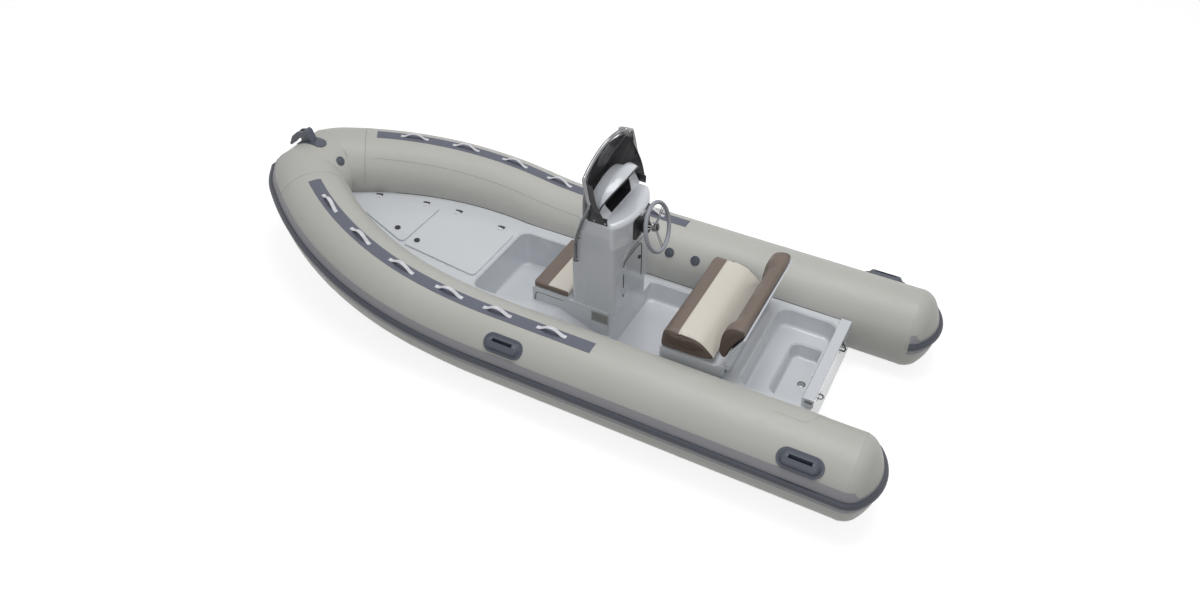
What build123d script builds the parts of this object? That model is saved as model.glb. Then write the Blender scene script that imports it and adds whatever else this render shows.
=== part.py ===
"""Rigid inflatable boat, about four and a half metres long.

Millimetres. +X runs to the bow, +Y to port, +Z up. The origin is on the centre line,
at the aft face of the transom, on the water's surface.
"""
from build123d import *
import math
import os

os.makedirs("parts", exist_ok=True)
PARTS = {}

# ------------------------------------------------------------------ driving sizes
# inflated collar
TUBE_R = 250            # radius of the tube
TUBE_Y = 673            # tube centre to the centre line, aft
TUBE_Z = 255            # tube centre above the water, aft
TAIL_X = -328           # where the cylinder ends and the domed tail begins
TAIL_LONG = 162         # length of the dome
TAIL_EDGE_R = 115       # its smaller radius, next to the cylinder
RISE_X = 1916           # where the tube starts to rise
RISE_R = 3085           # radius and angle of the rise
RISE_DEG = 9
BOW_R = 2167            # long bend towards the bow
BOW_DEG = 38.5
NOSE_R = 319            # short bend before the nose
NOSE_DEG = 19

# collar trim
BAND_THICK = 3          # flat band glued to the outside of the tube
BAND_FROM = -4          # degrees above the equator
BAND_TO = 27
STRAKE_OUT = 23         # rubbing strake, on the band
STRAKE_HIGH = 46
STRAKE_DEG = 9
GRIP_THICK = 2.5        # non-slip patch on top of the tube
GRIP_FROM = 77
GRIP_TO = 96
GRIP_AFT_X = 1236
GRIP_BOW_DEG = 32.9     # how far it follows the long bend

# hull
KEEL_Z = -255
CHINE_IN = 113          # chine, inboard of and below the tube's centre
CHINE_DOWN = 275
STEM_HALF = 25
TRANSOM = 58            # thickness
CAP_Z = 395             # top of the transom's cap
CAP_HALF = 380
HULL_TOP = 10           # joint between the hull and the deck moulding
HULL_RISE_X = RISE_X + 504  # where that joint starts to rise to the bow
HULL_RISE = 0.235       # its slope

# deck moulding
AFT_DECK_Z = 333
LEDGE_Z = 193           # side ledges in the cockpit
LEDGE_TO = 1450         # where they start to slope up to the bow deck's height
LEDGE_UP_X = 1700
SOLE_Z = 60
COCKPIT_HALF = 340      # half width of the sole
COCKPIT_FLARE = 38      # how much wider the opening is at the ledge
BOW_DECK_Z = 292        # bow deck at its aft edge
BOW_DECK_X = RISE_X + 422
BOW_SLOPE = 0.08
WELL_HALF = 344         # foot well ahead of the front seat
WELL_Z = 24
SPLASH_FROM = TRANSOM + 24
SPLASH_TO = 470
SPLASH_HALF = 385
SPLASH_Z = 208
PIT_FROM = SPLASH_FROM + 12
PIT_TO = 285
PIT_HALF = 235
PIT_Z = 110

# front seat and console
BOX_AFT = 1342
BOX_FRONT = 1906
BOX_HALF = 260
BOX_TOP = 384
CONSOLE_AFT = 1317
CONSOLE_FRONT = 1618
CONSOLE_HALF = 255
CONSOLE_Z = 1045        # top of its side walls
WALL = 8                # moulding thickness
FRONT_CUSHION_FROM = CONSOLE_FRONT + 14
FRONT_CUSHION_TO = BOX_FRONT - 11
FRONT_CUSHION_THICK = 44

# helm seat
SEAT_AFT = 535
SEAT_FRONT = 948
SEAT_HALF = 403
SEAT_TOP = 400
LID_THICK = 14
BACK_HALF = 411

# steering
WHEEL_R = 150           # to the middle of the rim
WHEEL_RIM = 11
WHEEL_X = 1169
WHEEL_Z = 946
WHEEL_TILT = 16.8       # top of the wheel leans forward

GAP = 0.3               # between soft pieces and what they rest on
SLIM = 2.0              # narrow seam between mouldings that open


def keep(name, shape):
    """Remember a finished piece under its node name."""
    PARTS[name] = shape


def box(x0, x1, y0, y1, z0, z1):
    """Box between two corners."""
    return Pos((x0 + x1) / 2, (y0 + y1) / 2, (z0 + z1) / 2) * Box(x1 - x0, y1 - y0, z1 - z0)


def side_plate(points, half):
    """Outline in the XZ plane, as thick as the boat is wide between -half and +half."""
    outline = Plane.XZ * make_face(Polyline(*points, close=True))
    return extrude(outline, half, both=True)


def mirrored(shape):
    """The same piece on the other side of the boat."""
    return mirror(shape, about=Plane.XZ)


# ------------------------------------------------------------------ tube centre line
def tube_runs():
    """Straight runs and arcs of the port tube, from the tail to the nose.

    Each run is (kind, plane, size, axis). The plane's x points outboard, its y up and its
    z forward along the tube, so a section is drawn once and follows the collar.
    """
    runs = []
    start = Plane((TAIL_X, TUBE_Y, TUBE_Z), x_dir=(0, 1, 0), z_dir=(1, 0, 0))
    runs.append(("line", start, RISE_X - TAIL_X, None))
    rise = start.offset(RISE_X - TAIL_X)
    pivot = Vector(RISE_X, TUBE_Y, TUBE_Z + RISE_R)
    runs.append(("arc", rise, RISE_DEG, Axis(pivot, (0, -1, 0))))
    lean = math.radians(RISE_DEG)
    ahead = Vector(math.cos(lean), 0, math.sin(lean))
    up = Vector(-math.sin(lean), 0, math.cos(lean))
    out = Vector(0, 1, 0)
    here = pivot + Vector(math.sin(lean), 0, -math.cos(lean)) * RISE_R
    turned = 0
    for radius, degrees in ((BOW_R, BOW_DEG), (NOSE_R, NOSE_DEG)):
        a = math.radians(turned)
        tangent = ahead * math.cos(a) - out * math.sin(a)
        normal = ahead * math.sin(a) + out * math.cos(a)
        centre = here - normal * radius
        runs.append(("arc", Plane(here, x_dir=normal, z_dir=tangent), degrees, Axis(centre, -up)))
        turned += degrees
        a = math.radians(turned)
        here = centre + (ahead * math.sin(a) + out * math.cos(a)) * radius
    return runs, here, math.radians(turned), ahead, up


RUNS, NOSE_AT, NOSE_HEADING, AHEAD, _ = tube_runs()
STEM_X = NOSE_AT.X + -0.5735  # fore end of the hull, under the nose
NOSE_AT = Vector(NOSE_AT.X, NOSE_AT.Y, NOSE_AT.Z)
MITRE_HEADING = (NOSE_HEADING + math.pi / 2) / 2
MITRE = Plane(NOSE_AT, z_dir=AHEAD * math.cos(MITRE_HEADING) - Vector(0, 1, 0) * math.sin(MITRE_HEADING))
STUB = 120              # how far the runs at the mitre overlap before they are cut


def run_solid(run, section):
    """The section carried along one run."""
    kind, plane, size, axis = run
    face = plane * section
    if kind == "line":
        return extrude(face, size, dir=plane.z_dir)
    return revolve(face, axis, size)


def carried(plane, axis, degrees):
    """A plane turned round an axis."""
    place = Plane(axis.position, z_dir=axis.direction).location
    return Plane(place * Rot(0, 0, degrees) * place.inverse() * plane.location)


def nose_side(section):
    """Last bend with a straight stub, cut at the mitre."""
    bend = run_solid(RUNS[3], section)
    tangent = AHEAD * math.cos(NOSE_HEADING) - Vector(0, 1, 0) * math.sin(NOSE_HEADING)
    normal = AHEAD * math.sin(NOSE_HEADING) + Vector(0, 1, 0) * math.cos(NOSE_HEADING)
    stub = extrude(Plane(NOSE_AT, x_dir=normal, z_dir=tangent) * section, STUB, dir=tangent)
    return split(bend + stub, bisect_by=MITRE, keep=Keep.BOTTOM)


def nose_half(section):
    """Port half of the cross-tube at the nose."""
    start = NOSE_AT + Vector(0, STUB, 0)
    plane = Plane(start, x_dir=AHEAD, z_dir=(0, -1, 0))
    half = extrude(plane * section, start.Y, dir=(0, -1, 0))
    return split(half, bisect_by=MITRE, keep=Keep.TOP)


def tube_at(bow_deg):
    """Centre of the tube at an angle round the long bend."""
    a = math.radians(bow_deg)
    start = RUNS[2][1].origin
    return start + AHEAD * BOW_R * math.sin(a) - Vector(0, BOW_R * (1 - math.cos(a)), 0)


# ------------------------------------------------------------------ sections on the tube
def polar(radius, degrees):
    """Point at an angle above the tube's outboard side."""
    a = math.radians(degrees)
    return (radius * math.cos(a), radius * math.sin(a))


def ring_piece(inner, outer, start, end):
    """Part of a ring between two angles."""
    mid = (start + end) / 2
    edges = [ThreePointArc(polar(inner, start), polar(inner, mid), polar(inner, end)),
             Line(polar(inner, end), polar(outer, end)),
             ThreePointArc(polar(outer, end), polar(outer, mid), polar(outer, start)),
             Line(polar(outer, start), polar(inner, start))]
    return make_face(edges)


def strake_section():
    """Rounded D of rubber, seated on the band."""
    inner = TUBE_R + BAND_THICK
    half = math.degrees(STRAKE_HIGH / 2 / inner)
    low, high = polar(inner, STRAKE_DEG - half), polar(inner, STRAKE_DEG + half)
    shoulder = inner + STRAKE_OUT * 0.55
    edges = [ThreePointArc(low, polar(inner, STRAKE_DEG), high),
             Line(high, polar(shoulder, STRAKE_DEG + half * 0.92)),
             ThreePointArc(polar(shoulder, STRAKE_DEG + half * 0.92), polar(inner + STRAKE_OUT, STRAKE_DEG),
                           polar(shoulder, STRAKE_DEG - half * 0.92)),
             Line(polar(shoulder, STRAKE_DEG - half * 0.92), low)]
    return make_face(edges)


DISC = Circle(TUBE_R)
BAND = ring_piece(TUBE_R, TUBE_R + BAND_THICK, BAND_FROM, BAND_TO)
STRAKE = strake_section()
GRIP = ring_piece(TUBE_R, TUBE_R + GRIP_THICK, GRIP_FROM, GRIP_TO)

# ------------------------------------------------------------------ collar
NOSE_LAP = 0.8          # the nose's panel is glued under the edges of its neighbours
shoulder = nose_side(DISC)
cross = nose_half(Circle(TUBE_R - NOSE_LAP))
nose = shoulder + cross + mirrored(shoulder) + mirrored(cross)
keep("tube_nose", nose)
fore = run_solid(RUNS[1], DISC) + run_solid(RUNS[2], DISC) - nose
keep("tube_port_fwd", fore)
keep("tube_starboard_fwd", mirrored(fore))


def tail_profile(grow=0.0):
    """Half outline of the domed tail: two arcs from the cylinder to the axis."""
    r = TUBE_R + grow
    small = TAIL_EDGE_R + grow
    long = TAIL_LONG + grow
    rest = r - small
    big = (long ** 2 + rest ** 2 - small ** 2) / (2 * (long - small))
    reach = big - small
    join = (-long + big - (big - long) * big / reach, rest * big / reach)
    mid_a = math.radians(90 + math.degrees(math.atan2(big - long, rest)) / 2)
    mid = (small * math.cos(mid_a), rest + small * math.sin(mid_a))
    tip = (-long, 0)
    half_a = math.pi - math.atan2(rest, big - long) / 2
    mid2 = (big - long + big * math.cos(half_a), big * math.sin(half_a))
    return [ThreePointArc((0, r), mid, join), ThreePointArc(join, mid2, tip)], tip, r


def tail():
    """Domed end of the port tube."""
    arcs, tip, r = tail_profile()
    face = make_face(arcs + [Line(tip, (0, 0)), Line((0, 0), (0, r))])
    face = Plane((TAIL_X, TUBE_Y, TUBE_Z), x_dir=(1, 0, 0), z_dir=(0, -1, 0)) * face
    return revolve(face, Axis((TAIL_X, TUBE_Y, TUBE_Z), (1, 0, 0)), 360)


aft = run_solid(RUNS[0], DISC) + tail()
keep("tube_port_aft", aft)
keep("tube_starboard_aft", mirrored(aft))


def round_tail(section, reach):
    """The section turned round the tail at its own height, as far as the tail's inboard side.

    The tail's plan is the same two arcs as its profile, so the section follows three revolves:
    the shoulder, the flat of the dome and the shoulder again.
    """
    arcs, tip, r = tail_profile()
    shoulder_a = arcs[0].arc_center
    dome_a = arcs[1].arc_center
    turn_one = math.degrees(math.atan2(-arcs[0].position_at(1).X, arcs[0].position_at(1).Y - shoulder_a.Y))
    turn_two = 2 * (90 - turn_one)
    up = (0, 0, 1)
    start = Plane((TAIL_X, TUBE_Y, TUBE_Z), x_dir=(0, 1, 0), z_dir=(1, 0, 0))
    first = Axis((TAIL_X + shoulder_a.X, TUBE_Y + shoulder_a.Y, TUBE_Z), up)
    second = Axis((TAIL_X + dome_a.X, TUBE_Y, TUBE_Z), up)
    third = Axis((TAIL_X + shoulder_a.X, TUBE_Y - shoulder_a.Y, TUBE_Z), up)
    piece = revolve(start * section, first, turn_one)
    at_dome = carried(start, first, turn_one)
    piece = piece + revolve(at_dome * section, second, turn_two)
    at_inner = carried(at_dome, second, turn_two)
    return piece + revolve(at_inner * section, third, reach)


def whole_collar(section, reach):
    """A section carried round both tails, along both tubes and round the nose, as one piece."""
    port = run_solid(RUNS[0], section) + run_solid(RUNS[1], section) + run_solid(RUNS[2], section)
    port = port + nose_side(section) + nose_half(section) + round_tail(section, reach)
    return port + mirrored(port)


TRIM_TURN = 34          # how far the trim turns round the tail's inboard shoulder
tube_side = PARTS["tube_port_aft"] + mirrored(PARTS["tube_port_aft"])
keep("rub_band", whole_collar(BAND, TRIM_TURN) - tube_side)
keep("rub_strake", whole_collar(STRAKE, TRIM_TURN) - tube_side)

grip = extrude(Plane((GRIP_AFT_X, TUBE_Y, TUBE_Z), x_dir=(0, 1, 0), z_dir=(1, 0, 0)) * GRIP,
               RISE_X - GRIP_AFT_X, dir=(1, 0, 0))
grip = grip + run_solid(RUNS[1], GRIP)
grip = grip + revolve(RUNS[2][1] * GRIP, RUNS[2][3], GRIP_BOW_DEG)
keep("grip_patch_port", grip)
keep("grip_patch_starboard", mirrored(grip))

ALL_TUBE = [PARTS[n] for n in ("tube_port_aft", "tube_port_fwd", "tube_nose", "tube_starboard_fwd",
                               "tube_starboard_aft")]

# ------------------------------------------------------------------ hull and deck moulding
def hull_section(x, keel, chine_y, chine_z, top):
    """Vee section: keel, chines, and sides that end inside the tubes."""
    points = [(0, keel), (chine_y, chine_z), (chine_y, top), (-chine_y, top), (-chine_y, chine_z)]
    return Plane((x, 0, 0), x_dir=(0, 1, 0), z_dir=(1, 0, 0)) * make_face(Polyline(*points, close=True))


HULL_HIGH = 560         # above every deck, before the decks are cut
aft_chine = TUBE_Y - CHINE_IN
stations = [(0, KEEL_Z, aft_chine, TUBE_Z - CHINE_DOWN),
            (1200, KEEL_Z, aft_chine, TUBE_Z - CHINE_DOWN),
            (RUNS[2][1].origin.X, KEEL_Z + 4, aft_chine, RUNS[2][1].origin.Z - CHINE_DOWN)]
for turn, keel in ((13.5, KEEL_Z + 40), (25, KEEL_Z + 150), (33, KEEL_Z + 330)):
    at = tube_at(turn)
    stations.append((at.X, keel, at.Y - CHINE_IN, at.Z - CHINE_DOWN + turn * 2))
stations.append((STEM_X, NOSE_AT.Z - TUBE_R + 6, STEM_HALF, NOSE_AT.Z - TUBE_R + 30))
body = loft([hull_section(*row, HULL_HIGH) for row in stations], ruled=True)
for tube in ALL_TUBE:
    body = body - tube


def above_decks():
    """Everything over the decks: aft deck, side ledges and the rising bow deck."""
    bow_end = STEM_X + 300
    bow_z = BOW_DECK_Z + BOW_SLOPE * (bow_end - BOW_DECK_X)
    outline = [(-100, AFT_DECK_Z), (SEAT_AFT, AFT_DECK_Z), (SEAT_AFT, LEDGE_Z), (LEDGE_TO, LEDGE_Z),
               (LEDGE_UP_X, BOW_DECK_Z), (BOW_DECK_X, BOW_DECK_Z), (bow_end, bow_z), (bow_end, 900), (-100, 900)]
    return side_plate(outline, 700)


body = body - above_decks()
joint = [(-100, HULL_TOP), (HULL_RISE_X, HULL_TOP),
         (STEM_X + 300, HULL_TOP + HULL_RISE * (STEM_X + 300 - HULL_RISE_X)), (STEM_X + 300, 900),
         (-100, 900)]
over = side_plate(joint, 700)
hull = body - over
transom = box(0, TRANSOM, -700, 700, HULL_TOP, AFT_DECK_Z + 1)
liner = body & over
hull = hull + (liner & transom)
liner = liner - transom


RIM_EASE = 9            # bevel round the rim of a well
FLOOR_R = 28            # round between a well's floor and its walls


def flared(x0, x1, half, z0, z1, flare, corner=60, round_r=FLOOR_R):
    """Pocket with sloping sides, a rounded floor and an eased rim, open at the top."""
    middle = (x0 + x1) / 2

    def outline(z, grow):
        return Plane.XY.offset(z) * Pos(middle, 0) * RectangleRounded(
            x1 - x0 + 2 * grow, 2 * (half + grow), corner + grow)

    well = loft([outline(z0, 0), outline(z1, flare)], ruled=True)
    well = fillet(well.faces().sort_by(Axis.Z)[0].edges(), round_r)
    return well + loft([outline(z1 - RIM_EASE, flare), outline(z1, flare + RIM_EASE)], ruled=True)


cockpit = flared(SEAT_FRONT + 6, BOX_AFT + 8, COCKPIT_HALF, SOLE_Z, LEDGE_Z, COCKPIT_FLARE)
cockpit = cockpit & box(SEAT_FRONT - 30, BOX_AFT, -700, 700, 0, 900)
foot_well = flared(BOX_FRONT + 4, BOW_DECK_X - 22, WELL_HALF - 18, WELL_Z, BOW_DECK_Z, 18 - RIM_EASE)
splash = flared(SPLASH_FROM, SPLASH_TO - 40, SPLASH_HALF - 20, SPLASH_Z, AFT_DECK_Z, 18)
pit = flared(PIT_FROM + 8, PIT_TO - 8, PIT_HALF - 8, PIT_Z, SPLASH_Z, 8 + RIM_EASE, 40, 18)
liner = liner - cockpit - foot_well - splash - pit

# spray rails under the hull, and the keel's band
RAIL_SHARE = 0.52       # how far out from the keel a spray rail runs
SPRAY_WIDE = 30
SPRAY_FROM = 40
SPRAY_TO = BOW_DECK_X - 8
rail_y = aft_chine * RAIL_SHARE
rail_z = KEEL_Z + (TUBE_Z - CHINE_DOWN - KEEL_Z) * RAIL_SHARE
slope = (TUBE_Z - CHINE_DOWN - KEEL_Z) / aft_chine
rail_face = make_face(Polyline((rail_y - SPRAY_WIDE, rail_z - slope * SPRAY_WIDE + 1),
                               (rail_y, rail_z - slope * SPRAY_WIDE),
                               (rail_y + 2, rail_z + 4), close=True))
spray = extrude(Plane((SPRAY_FROM, 0, 0), x_dir=(0, 1, 0), z_dir=(1, 0, 0)) * rail_face,
                SPRAY_TO - SPRAY_FROM)
hull = hull + spray + mirrored(spray)
keep("hull", hull)
keep("deck_liner", liner)

cap = box(-6, TRANSOM + 4, -CAP_HALF, CAP_HALF, AFT_DECK_Z, CAP_Z)
cap = fillet(cap.faces().sort_by(Axis.Z)[-1].edges(), 6)
for tube in (ALL_TUBE[0], ALL_TUBE[4]):
    cap = cap - tube
keep("transom_cap", cap)

# ------------------------------------------------------------------ bow deck lids
LID_Z = 12              # thickness of a lid
HINGE_R = 6
HINGE_LONG = 44
HINGE_OUT = HINGE_R + 3     # knuckle's centre from the lid's edge
HINGE_UP = LID_Z + 4        # knuckle's centre above the deck
LEAF = 4
AFT_LID_FROM, AFT_LID_TO = BOW_DECK_X + 14, BOW_DECK_X + 592
FORE_LID_FROM, FORE_LID_TO = AFT_LID_TO + 15, AFT_LID_TO + 570
AFT_LID = [(AFT_LID_FROM, -262), (AFT_LID_FROM, 262), (AFT_LID_TO, 243), (AFT_LID_TO, -243)]
FORE_LID = [(FORE_LID_FROM, -236), (FORE_LID_FROM, 236), (FORE_LID_TO, 60), (FORE_LID_TO, -60)]
HINGE_SHARES = (0.2, 0.8)


def on_bow_deck(x, y=0.0, turn=0.0):
    """Place on the bow deck at a point measured along its slope, turned towards port."""
    deck = Plane((BOW_DECK_X, 0, BOW_DECK_Z), x_dir=(1, 0, BOW_SLOPE), z_dir=(-BOW_SLOPE, 0, 1))
    return deck * Pos(x - BOW_DECK_X, y, 0) * Rot(0, 0, turn)


def lid_plate(points, radius):
    """Flat lid that lies on the bow deck, from its outline in plan."""
    face = make_face(Polyline(*[(x - BOW_DECK_X, y) for x, y in points], close=True))
    face = fillet(face.vertices(), radius)
    return extrude(on_bow_deck(BOW_DECK_X) * Pos(0, 0, GAP) * face, LID_Z - GAP)


def hinge_place(outline, share):
    """Place on the lid's starboard edge, its x along the edge."""
    (x0, y0), (x1, y1) = outline[0], outline[3]
    turn = math.degrees(math.atan2(y1 - y0, x1 - x0))
    return on_bow_deck(x0 + (x1 - x0) * share, y0 + (y1 - y0) * share, turn)


def deck_hinge(place):
    """Fixed half of a butt hinge: leaf, post and knuckle."""
    wide = HINGE_LONG - 8
    leaf = place * Pos(0, -HINGE_OUT - 14, LEAF / 2) * Box(wide, 28, LEAF)
    post = place * Pos(0, -HINGE_OUT - 2, HINGE_UP / 2) * Box(wide, 6, HINGE_UP)
    knuckle = place * Pos(0, -HINGE_OUT, HINGE_UP) * Rot(0, 90, 0) * Cylinder(HINGE_R, HINGE_LONG)
    return leaf + post + knuckle


def lid_leaf(place):
    """Moving half: the leaf on top of the lid, up to the knuckle."""
    start = HINGE_R + GAP - HINGE_OUT
    return place * Pos(0, (start + 26) / 2, LID_Z + LEAF / 2) * Box(HINGE_LONG - 8, 26 - start, LEAF)


LOCKER_IN = 38          # from the lid's edge to the locker's
LOCKERS = {"bow_lid_aft": (AFT_LID, 180), "bow_lid_fwd": (FORE_LID, 292)}
for outline, bottom in LOCKERS.values():
    face = offset(make_face(Polyline(*outline, close=True)), -LOCKER_IN)
    face = fillet(face.vertices(), 30)
    hole = extrude(Plane.XY.offset(bottom) * face, 400)
    PARTS["deck_liner"] = PARTS["deck_liner"] - hole
    PARTS["hull"] = PARTS["hull"] - hole

hinges = []
for name, (outline, bottom) in LOCKERS.items():
    piece = lid_plate(outline, 30)
    for share in HINGE_SHARES:
        place = hinge_place(outline, share)
        piece = piece + lid_leaf(place)
        hinges.append(deck_hinge(place))
    keep(name, piece)
keep("bow_lid_hinges", Compound(children=hinges))


def bow_latch(x, y, r):
    """Round turn-latch on a lid."""
    return on_bow_deck(x, y) * Pos(0, 0, LID_Z + 3) * Cylinder(r, 6)


keep("bow_latch_aft", bow_latch(AFT_LID_TO - 60, 170, 20))
keep("bow_latch_fwd", bow_latch(FORE_LID_FROM + 115, 130, 20))

# ------------------------------------------------------------------ front seat box
seat_box = box(BOX_AFT, BOX_FRONT, -BOX_HALF, BOX_HALF, SOLE_Z, BOX_TOP)
seat_box = fillet(seat_box.edges().filter_by(Axis.Z), 22)
PARTS["deck_liner"] = PARTS["deck_liner"] - seat_box
locker = box(FRONT_CUSHION_FROM + 18, BOX_FRONT - 20, -BOX_HALF + 20, BOX_HALF - 20, LEDGE_Z + 12,
             BOX_TOP + 1)
keep("seat_box", seat_box - locker)

FRONT_LID = 10
SEAT_PIN_R = 3.5
FRONT_PIN_X = BOX_FRONT - 5
FRONT_PIN_Z = BOX_TOP + SEAT_PIN_R
front_lid = box(FRONT_CUSHION_FROM - 4, FRONT_PIN_X - SEAT_PIN_R - GAP, -BOX_HALF, BOX_HALF, BOX_TOP + GAP,
                BOX_TOP + FRONT_LID)
keep("front_seat_lid", fillet(front_lid.edges().filter_by(Axis.Z).sort_by(Axis.X)[:2], 14))
front_pin = Pos(FRONT_PIN_X, 0, FRONT_PIN_Z) * Rot(90, 0, 0) * Cylinder(SEAT_PIN_R, 400)
keep("front_seat_hinge", front_pin + box(FRONT_PIN_X - SEAT_PIN_R, BOX_FRONT, -200, 200, BOX_TOP,
                                         FRONT_PIN_Z))
cushion = box(FRONT_CUSHION_FROM, FRONT_CUSHION_TO, -BOX_HALF, BOX_HALF, BOX_TOP + FRONT_LID + GAP,
              BOX_TOP + FRONT_LID + FRONT_CUSHION_THICK)
cushion = fillet(cushion.edges().filter_by(Axis.Z), 20)
cushion = fillet(cushion.faces().sort_by(Axis.Z)[-1].edges(), 8)
keep("front_cushion", cushion)

# ------------------------------------------------------------------ console
CONSOLE_ROWS = [  # height, front, crown of the front, aft corner, bulge of the aft face, half width
    (BOX_TOP, CONSOLE_FRONT, 1, CONSOLE_AFT, 1, CONSOLE_HALF),
    (720, CONSOLE_FRONT, 1, CONSOLE_AFT + 7, 1, CONSOLE_HALF),
    (880, CONSOLE_FRONT - 4, 12, CONSOLE_AFT + 21, 76, CONSOLE_HALF - 1),
    (CONSOLE_Z, CONSOLE_FRONT - 36, 24, CONSOLE_AFT + 35, 88, CONSOLE_HALF - 4)]


def console_outline(z, front, crown, aft, bulge, half, inset):
    """Plan outline: flat sides, a crowned front and an aft face that bulges towards the helm."""
    f, a, h = front - inset, aft + inset, half - inset
    edges = [Line((a, h), (f - crown, h)), ThreePointArc((f - crown, h), (f, 0), (f - crown, -h)),
             Line((f - crown, -h), (a, -h)), ThreePointArc((a, -h), (a - bulge, 0), (a, h))]
    face = make_face(edges)
    face = fillet(face.vertices(), 34 - inset)
    return Pos(0, 0, z) * face


def console_form(inset):
    """The console's outside, or its inside when inset by the wall."""
    return loft([console_outline(*row, inset) for row in CONSOLE_ROWS], ruled=True)


TOP_EDGE_R = 34         # the moulding turns over to its top on this radius, aft
outer = console_form(0)
top_edges = outer.edges().filter_by_position(Axis.Z, CONSOLE_Z - 0.1, CONSOLE_Z + 0.1)
aft_edges = top_edges.filter_by(lambda edge: edge.center().X < CONSOLE_ROWS[-1][3] + 4)
outer = fillet(aft_edges, TOP_EDGE_R)
inner = console_form(WALL) & box(1000, 1700, -400, 400, BOX_TOP + 12, CONSOLE_Z - WALL - TOP_EDGE_R / 2)
DOOR_HALF = 126
DOOR_FROM = 436
DOOR_TO = 702
pedestal = outer - inner


def door_region(grow):
    """Block over the door's outline on the flat of the aft face."""
    plane = Plane((CONSOLE_AFT, 0, (DOOR_FROM + DOOR_TO) / 2), x_dir=(0, -1, 0), z_dir=(-1, 0, 0))
    outline = RectangleRounded(2 * (DOOR_HALF + grow), DOOR_TO - DOOR_FROM + 2 * grow, 34 + grow)
    return extrude(plane * outline, 60, both=True)


door = pedestal & door_region(0)
pedestal = pedestal - door_region(SLIM)
DOOR_PIN_R = 4
DOOR_PIN_X = CONSOLE_AFT - 1 - DOOR_PIN_R
DOOR_PIN_Y = DOOR_HALF + SLIM / 2
DOOR_LEAF = 22
knuckles = []
for z in (490, 648):
    leaf = box(DOOR_PIN_X, CONSOLE_AFT + 12, DOOR_PIN_Y, DOOR_PIN_Y + DOOR_LEAF, z - 20, z + 20)
    knuckles.append(Pos(DOOR_PIN_X, DOOR_PIN_Y, z) * Cylinder(DOOR_PIN_R, 46) + (leaf - outer))
    door = door + (box(DOOR_PIN_X, CONSOLE_AFT + 12, DOOR_PIN_Y - DOOR_PIN_R - GAP - DOOR_LEAF,
                       DOOR_PIN_Y - DOOR_PIN_R - GAP, z - 20, z + 20) - outer)
keep("console_door", door)
keep("console_door_hinges", Compound(children=knuckles))
latch = Pos(CONSOLE_AFT + 4, -92, 604) * Rot(0, -90, 0) * Cylinder(12, 18)
keep("door_latch", latch - outer)

# cowl over the instruments
COWL_AFT = 1408
COWL_FRONT = 1545
COWL_HALF = 240
COWL_SHOULDER = 1112
COWL_TOP = 1262
DASH_DEEP = 84          # depth of the recess


def arch(half, low, shoulder, top):
    """Arched outline across the boat."""
    return make_face([Line((-half, low), (half, low)), Line((half, low), (half, shoulder)),
                      ThreePointArc((half, shoulder), (0, top), (-half, shoulder)),
                      Line((-half, shoulder), (-half, low))])


def across(x, face):
    """Put an outline drawn as (y, z) at a station."""
    return Plane((x, 0, 0), x_dir=(0, 1, 0), z_dir=(1, 0, 0)) * face


cowl = loft([across(COWL_AFT, arch(COWL_HALF, CONSOLE_Z, COWL_SHOULDER, COWL_TOP)),
             across(COWL_FRONT, arch(COWL_HALF - 8, CONSOLE_Z, COWL_SHOULDER - 10, COWL_TOP - 26))],
             ruled=True)
MOUTH = make_face([Line((-130, CONSOLE_Z + 3), (130, CONSOLE_Z + 3)),
                   Line((130, CONSOLE_Z + 3), (158, 1104)),
                   ThreePointArc((158, 1104), (0, COWL_TOP - 26), (-158, 1104)),
                   Line((-158, 1104), (-130, CONSOLE_Z + 3))])
mouth = extrude(across(COWL_AFT - 1, MOUTH), DASH_DEEP + 1)
COWL_LEAN = 0.5         # its aft face leans forward as far as the shoulder
lean_to = COWL_AFT + COWL_LEAN * (COWL_SHOULDER - CONSOLE_Z)
cowl = cowl - side_plate([(COWL_AFT - 1, CONSOLE_Z), (lean_to, COWL_SHOULDER), (lean_to, COWL_TOP + 9),
                          (COWL_AFT - 9, COWL_TOP + 9)], 400)
cowl = cowl - mouth
keep("console_cowl", cowl)
tray = extrude(across(COWL_AFT + 4, MOUTH), DASH_DEEP - 4)
tray_in = extrude(across(COWL_AFT + 3, offset(MOUTH, -4)), DASH_DEEP - 7)
tray = tray - tray_in - side_plate([(COWL_AFT - 1, CONSOLE_Z), (lean_to + 3, COWL_SHOULDER),
                                    (lean_to + 3, COWL_TOP),
                                    (COWL_AFT - 9, COWL_TOP)], 400)
keep("dash_tray", tray)
lip_out = arch(COWL_HALF + 3, COWL_SHOULDER, COWL_SHOULDER + 6, COWL_TOP + 3)
lip_in = arch(COWL_HALF - 4, COWL_SHOULDER - 1, COWL_SHOULDER, COWL_TOP - 4)
lip = extrude(across(lean_to - 14, lip_out - lip_in), 14)
keep("cowl_lip", lip)

# gauge panel on the bulge
panel = (console_form(-5) - outer) & box(1200, 1300, -112, 112, 872, 1028)
keep("gauge_panel", panel)

pedestal = pedestal - cowl
keep("console_pedestal", pedestal)

# ------------------------------------------------------------------ windscreen and its rail
SCREEN_THICK = 5
SCREEN_TOP = 1506
SCREEN_TOP_X = 1400     # how far aft its top comes on the centre line
SCREEN_SEAT = 0.5       # between the console's top and the screen round it
_, TOP_FRONT, TOP_CROWN, TOP_AFT, _, TOP_HALF = CONSOLE_ROWS[-1]
SCREEN_HALF = TOP_HALF + SCREEN_SEAT + SCREEN_THICK
SCREEN_RAKE = (TOP_FRONT + SCREEN_SEAT + SCREEN_THICK - SCREEN_TOP_X) / (SCREEN_TOP - CONSOLE_Z)


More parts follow.
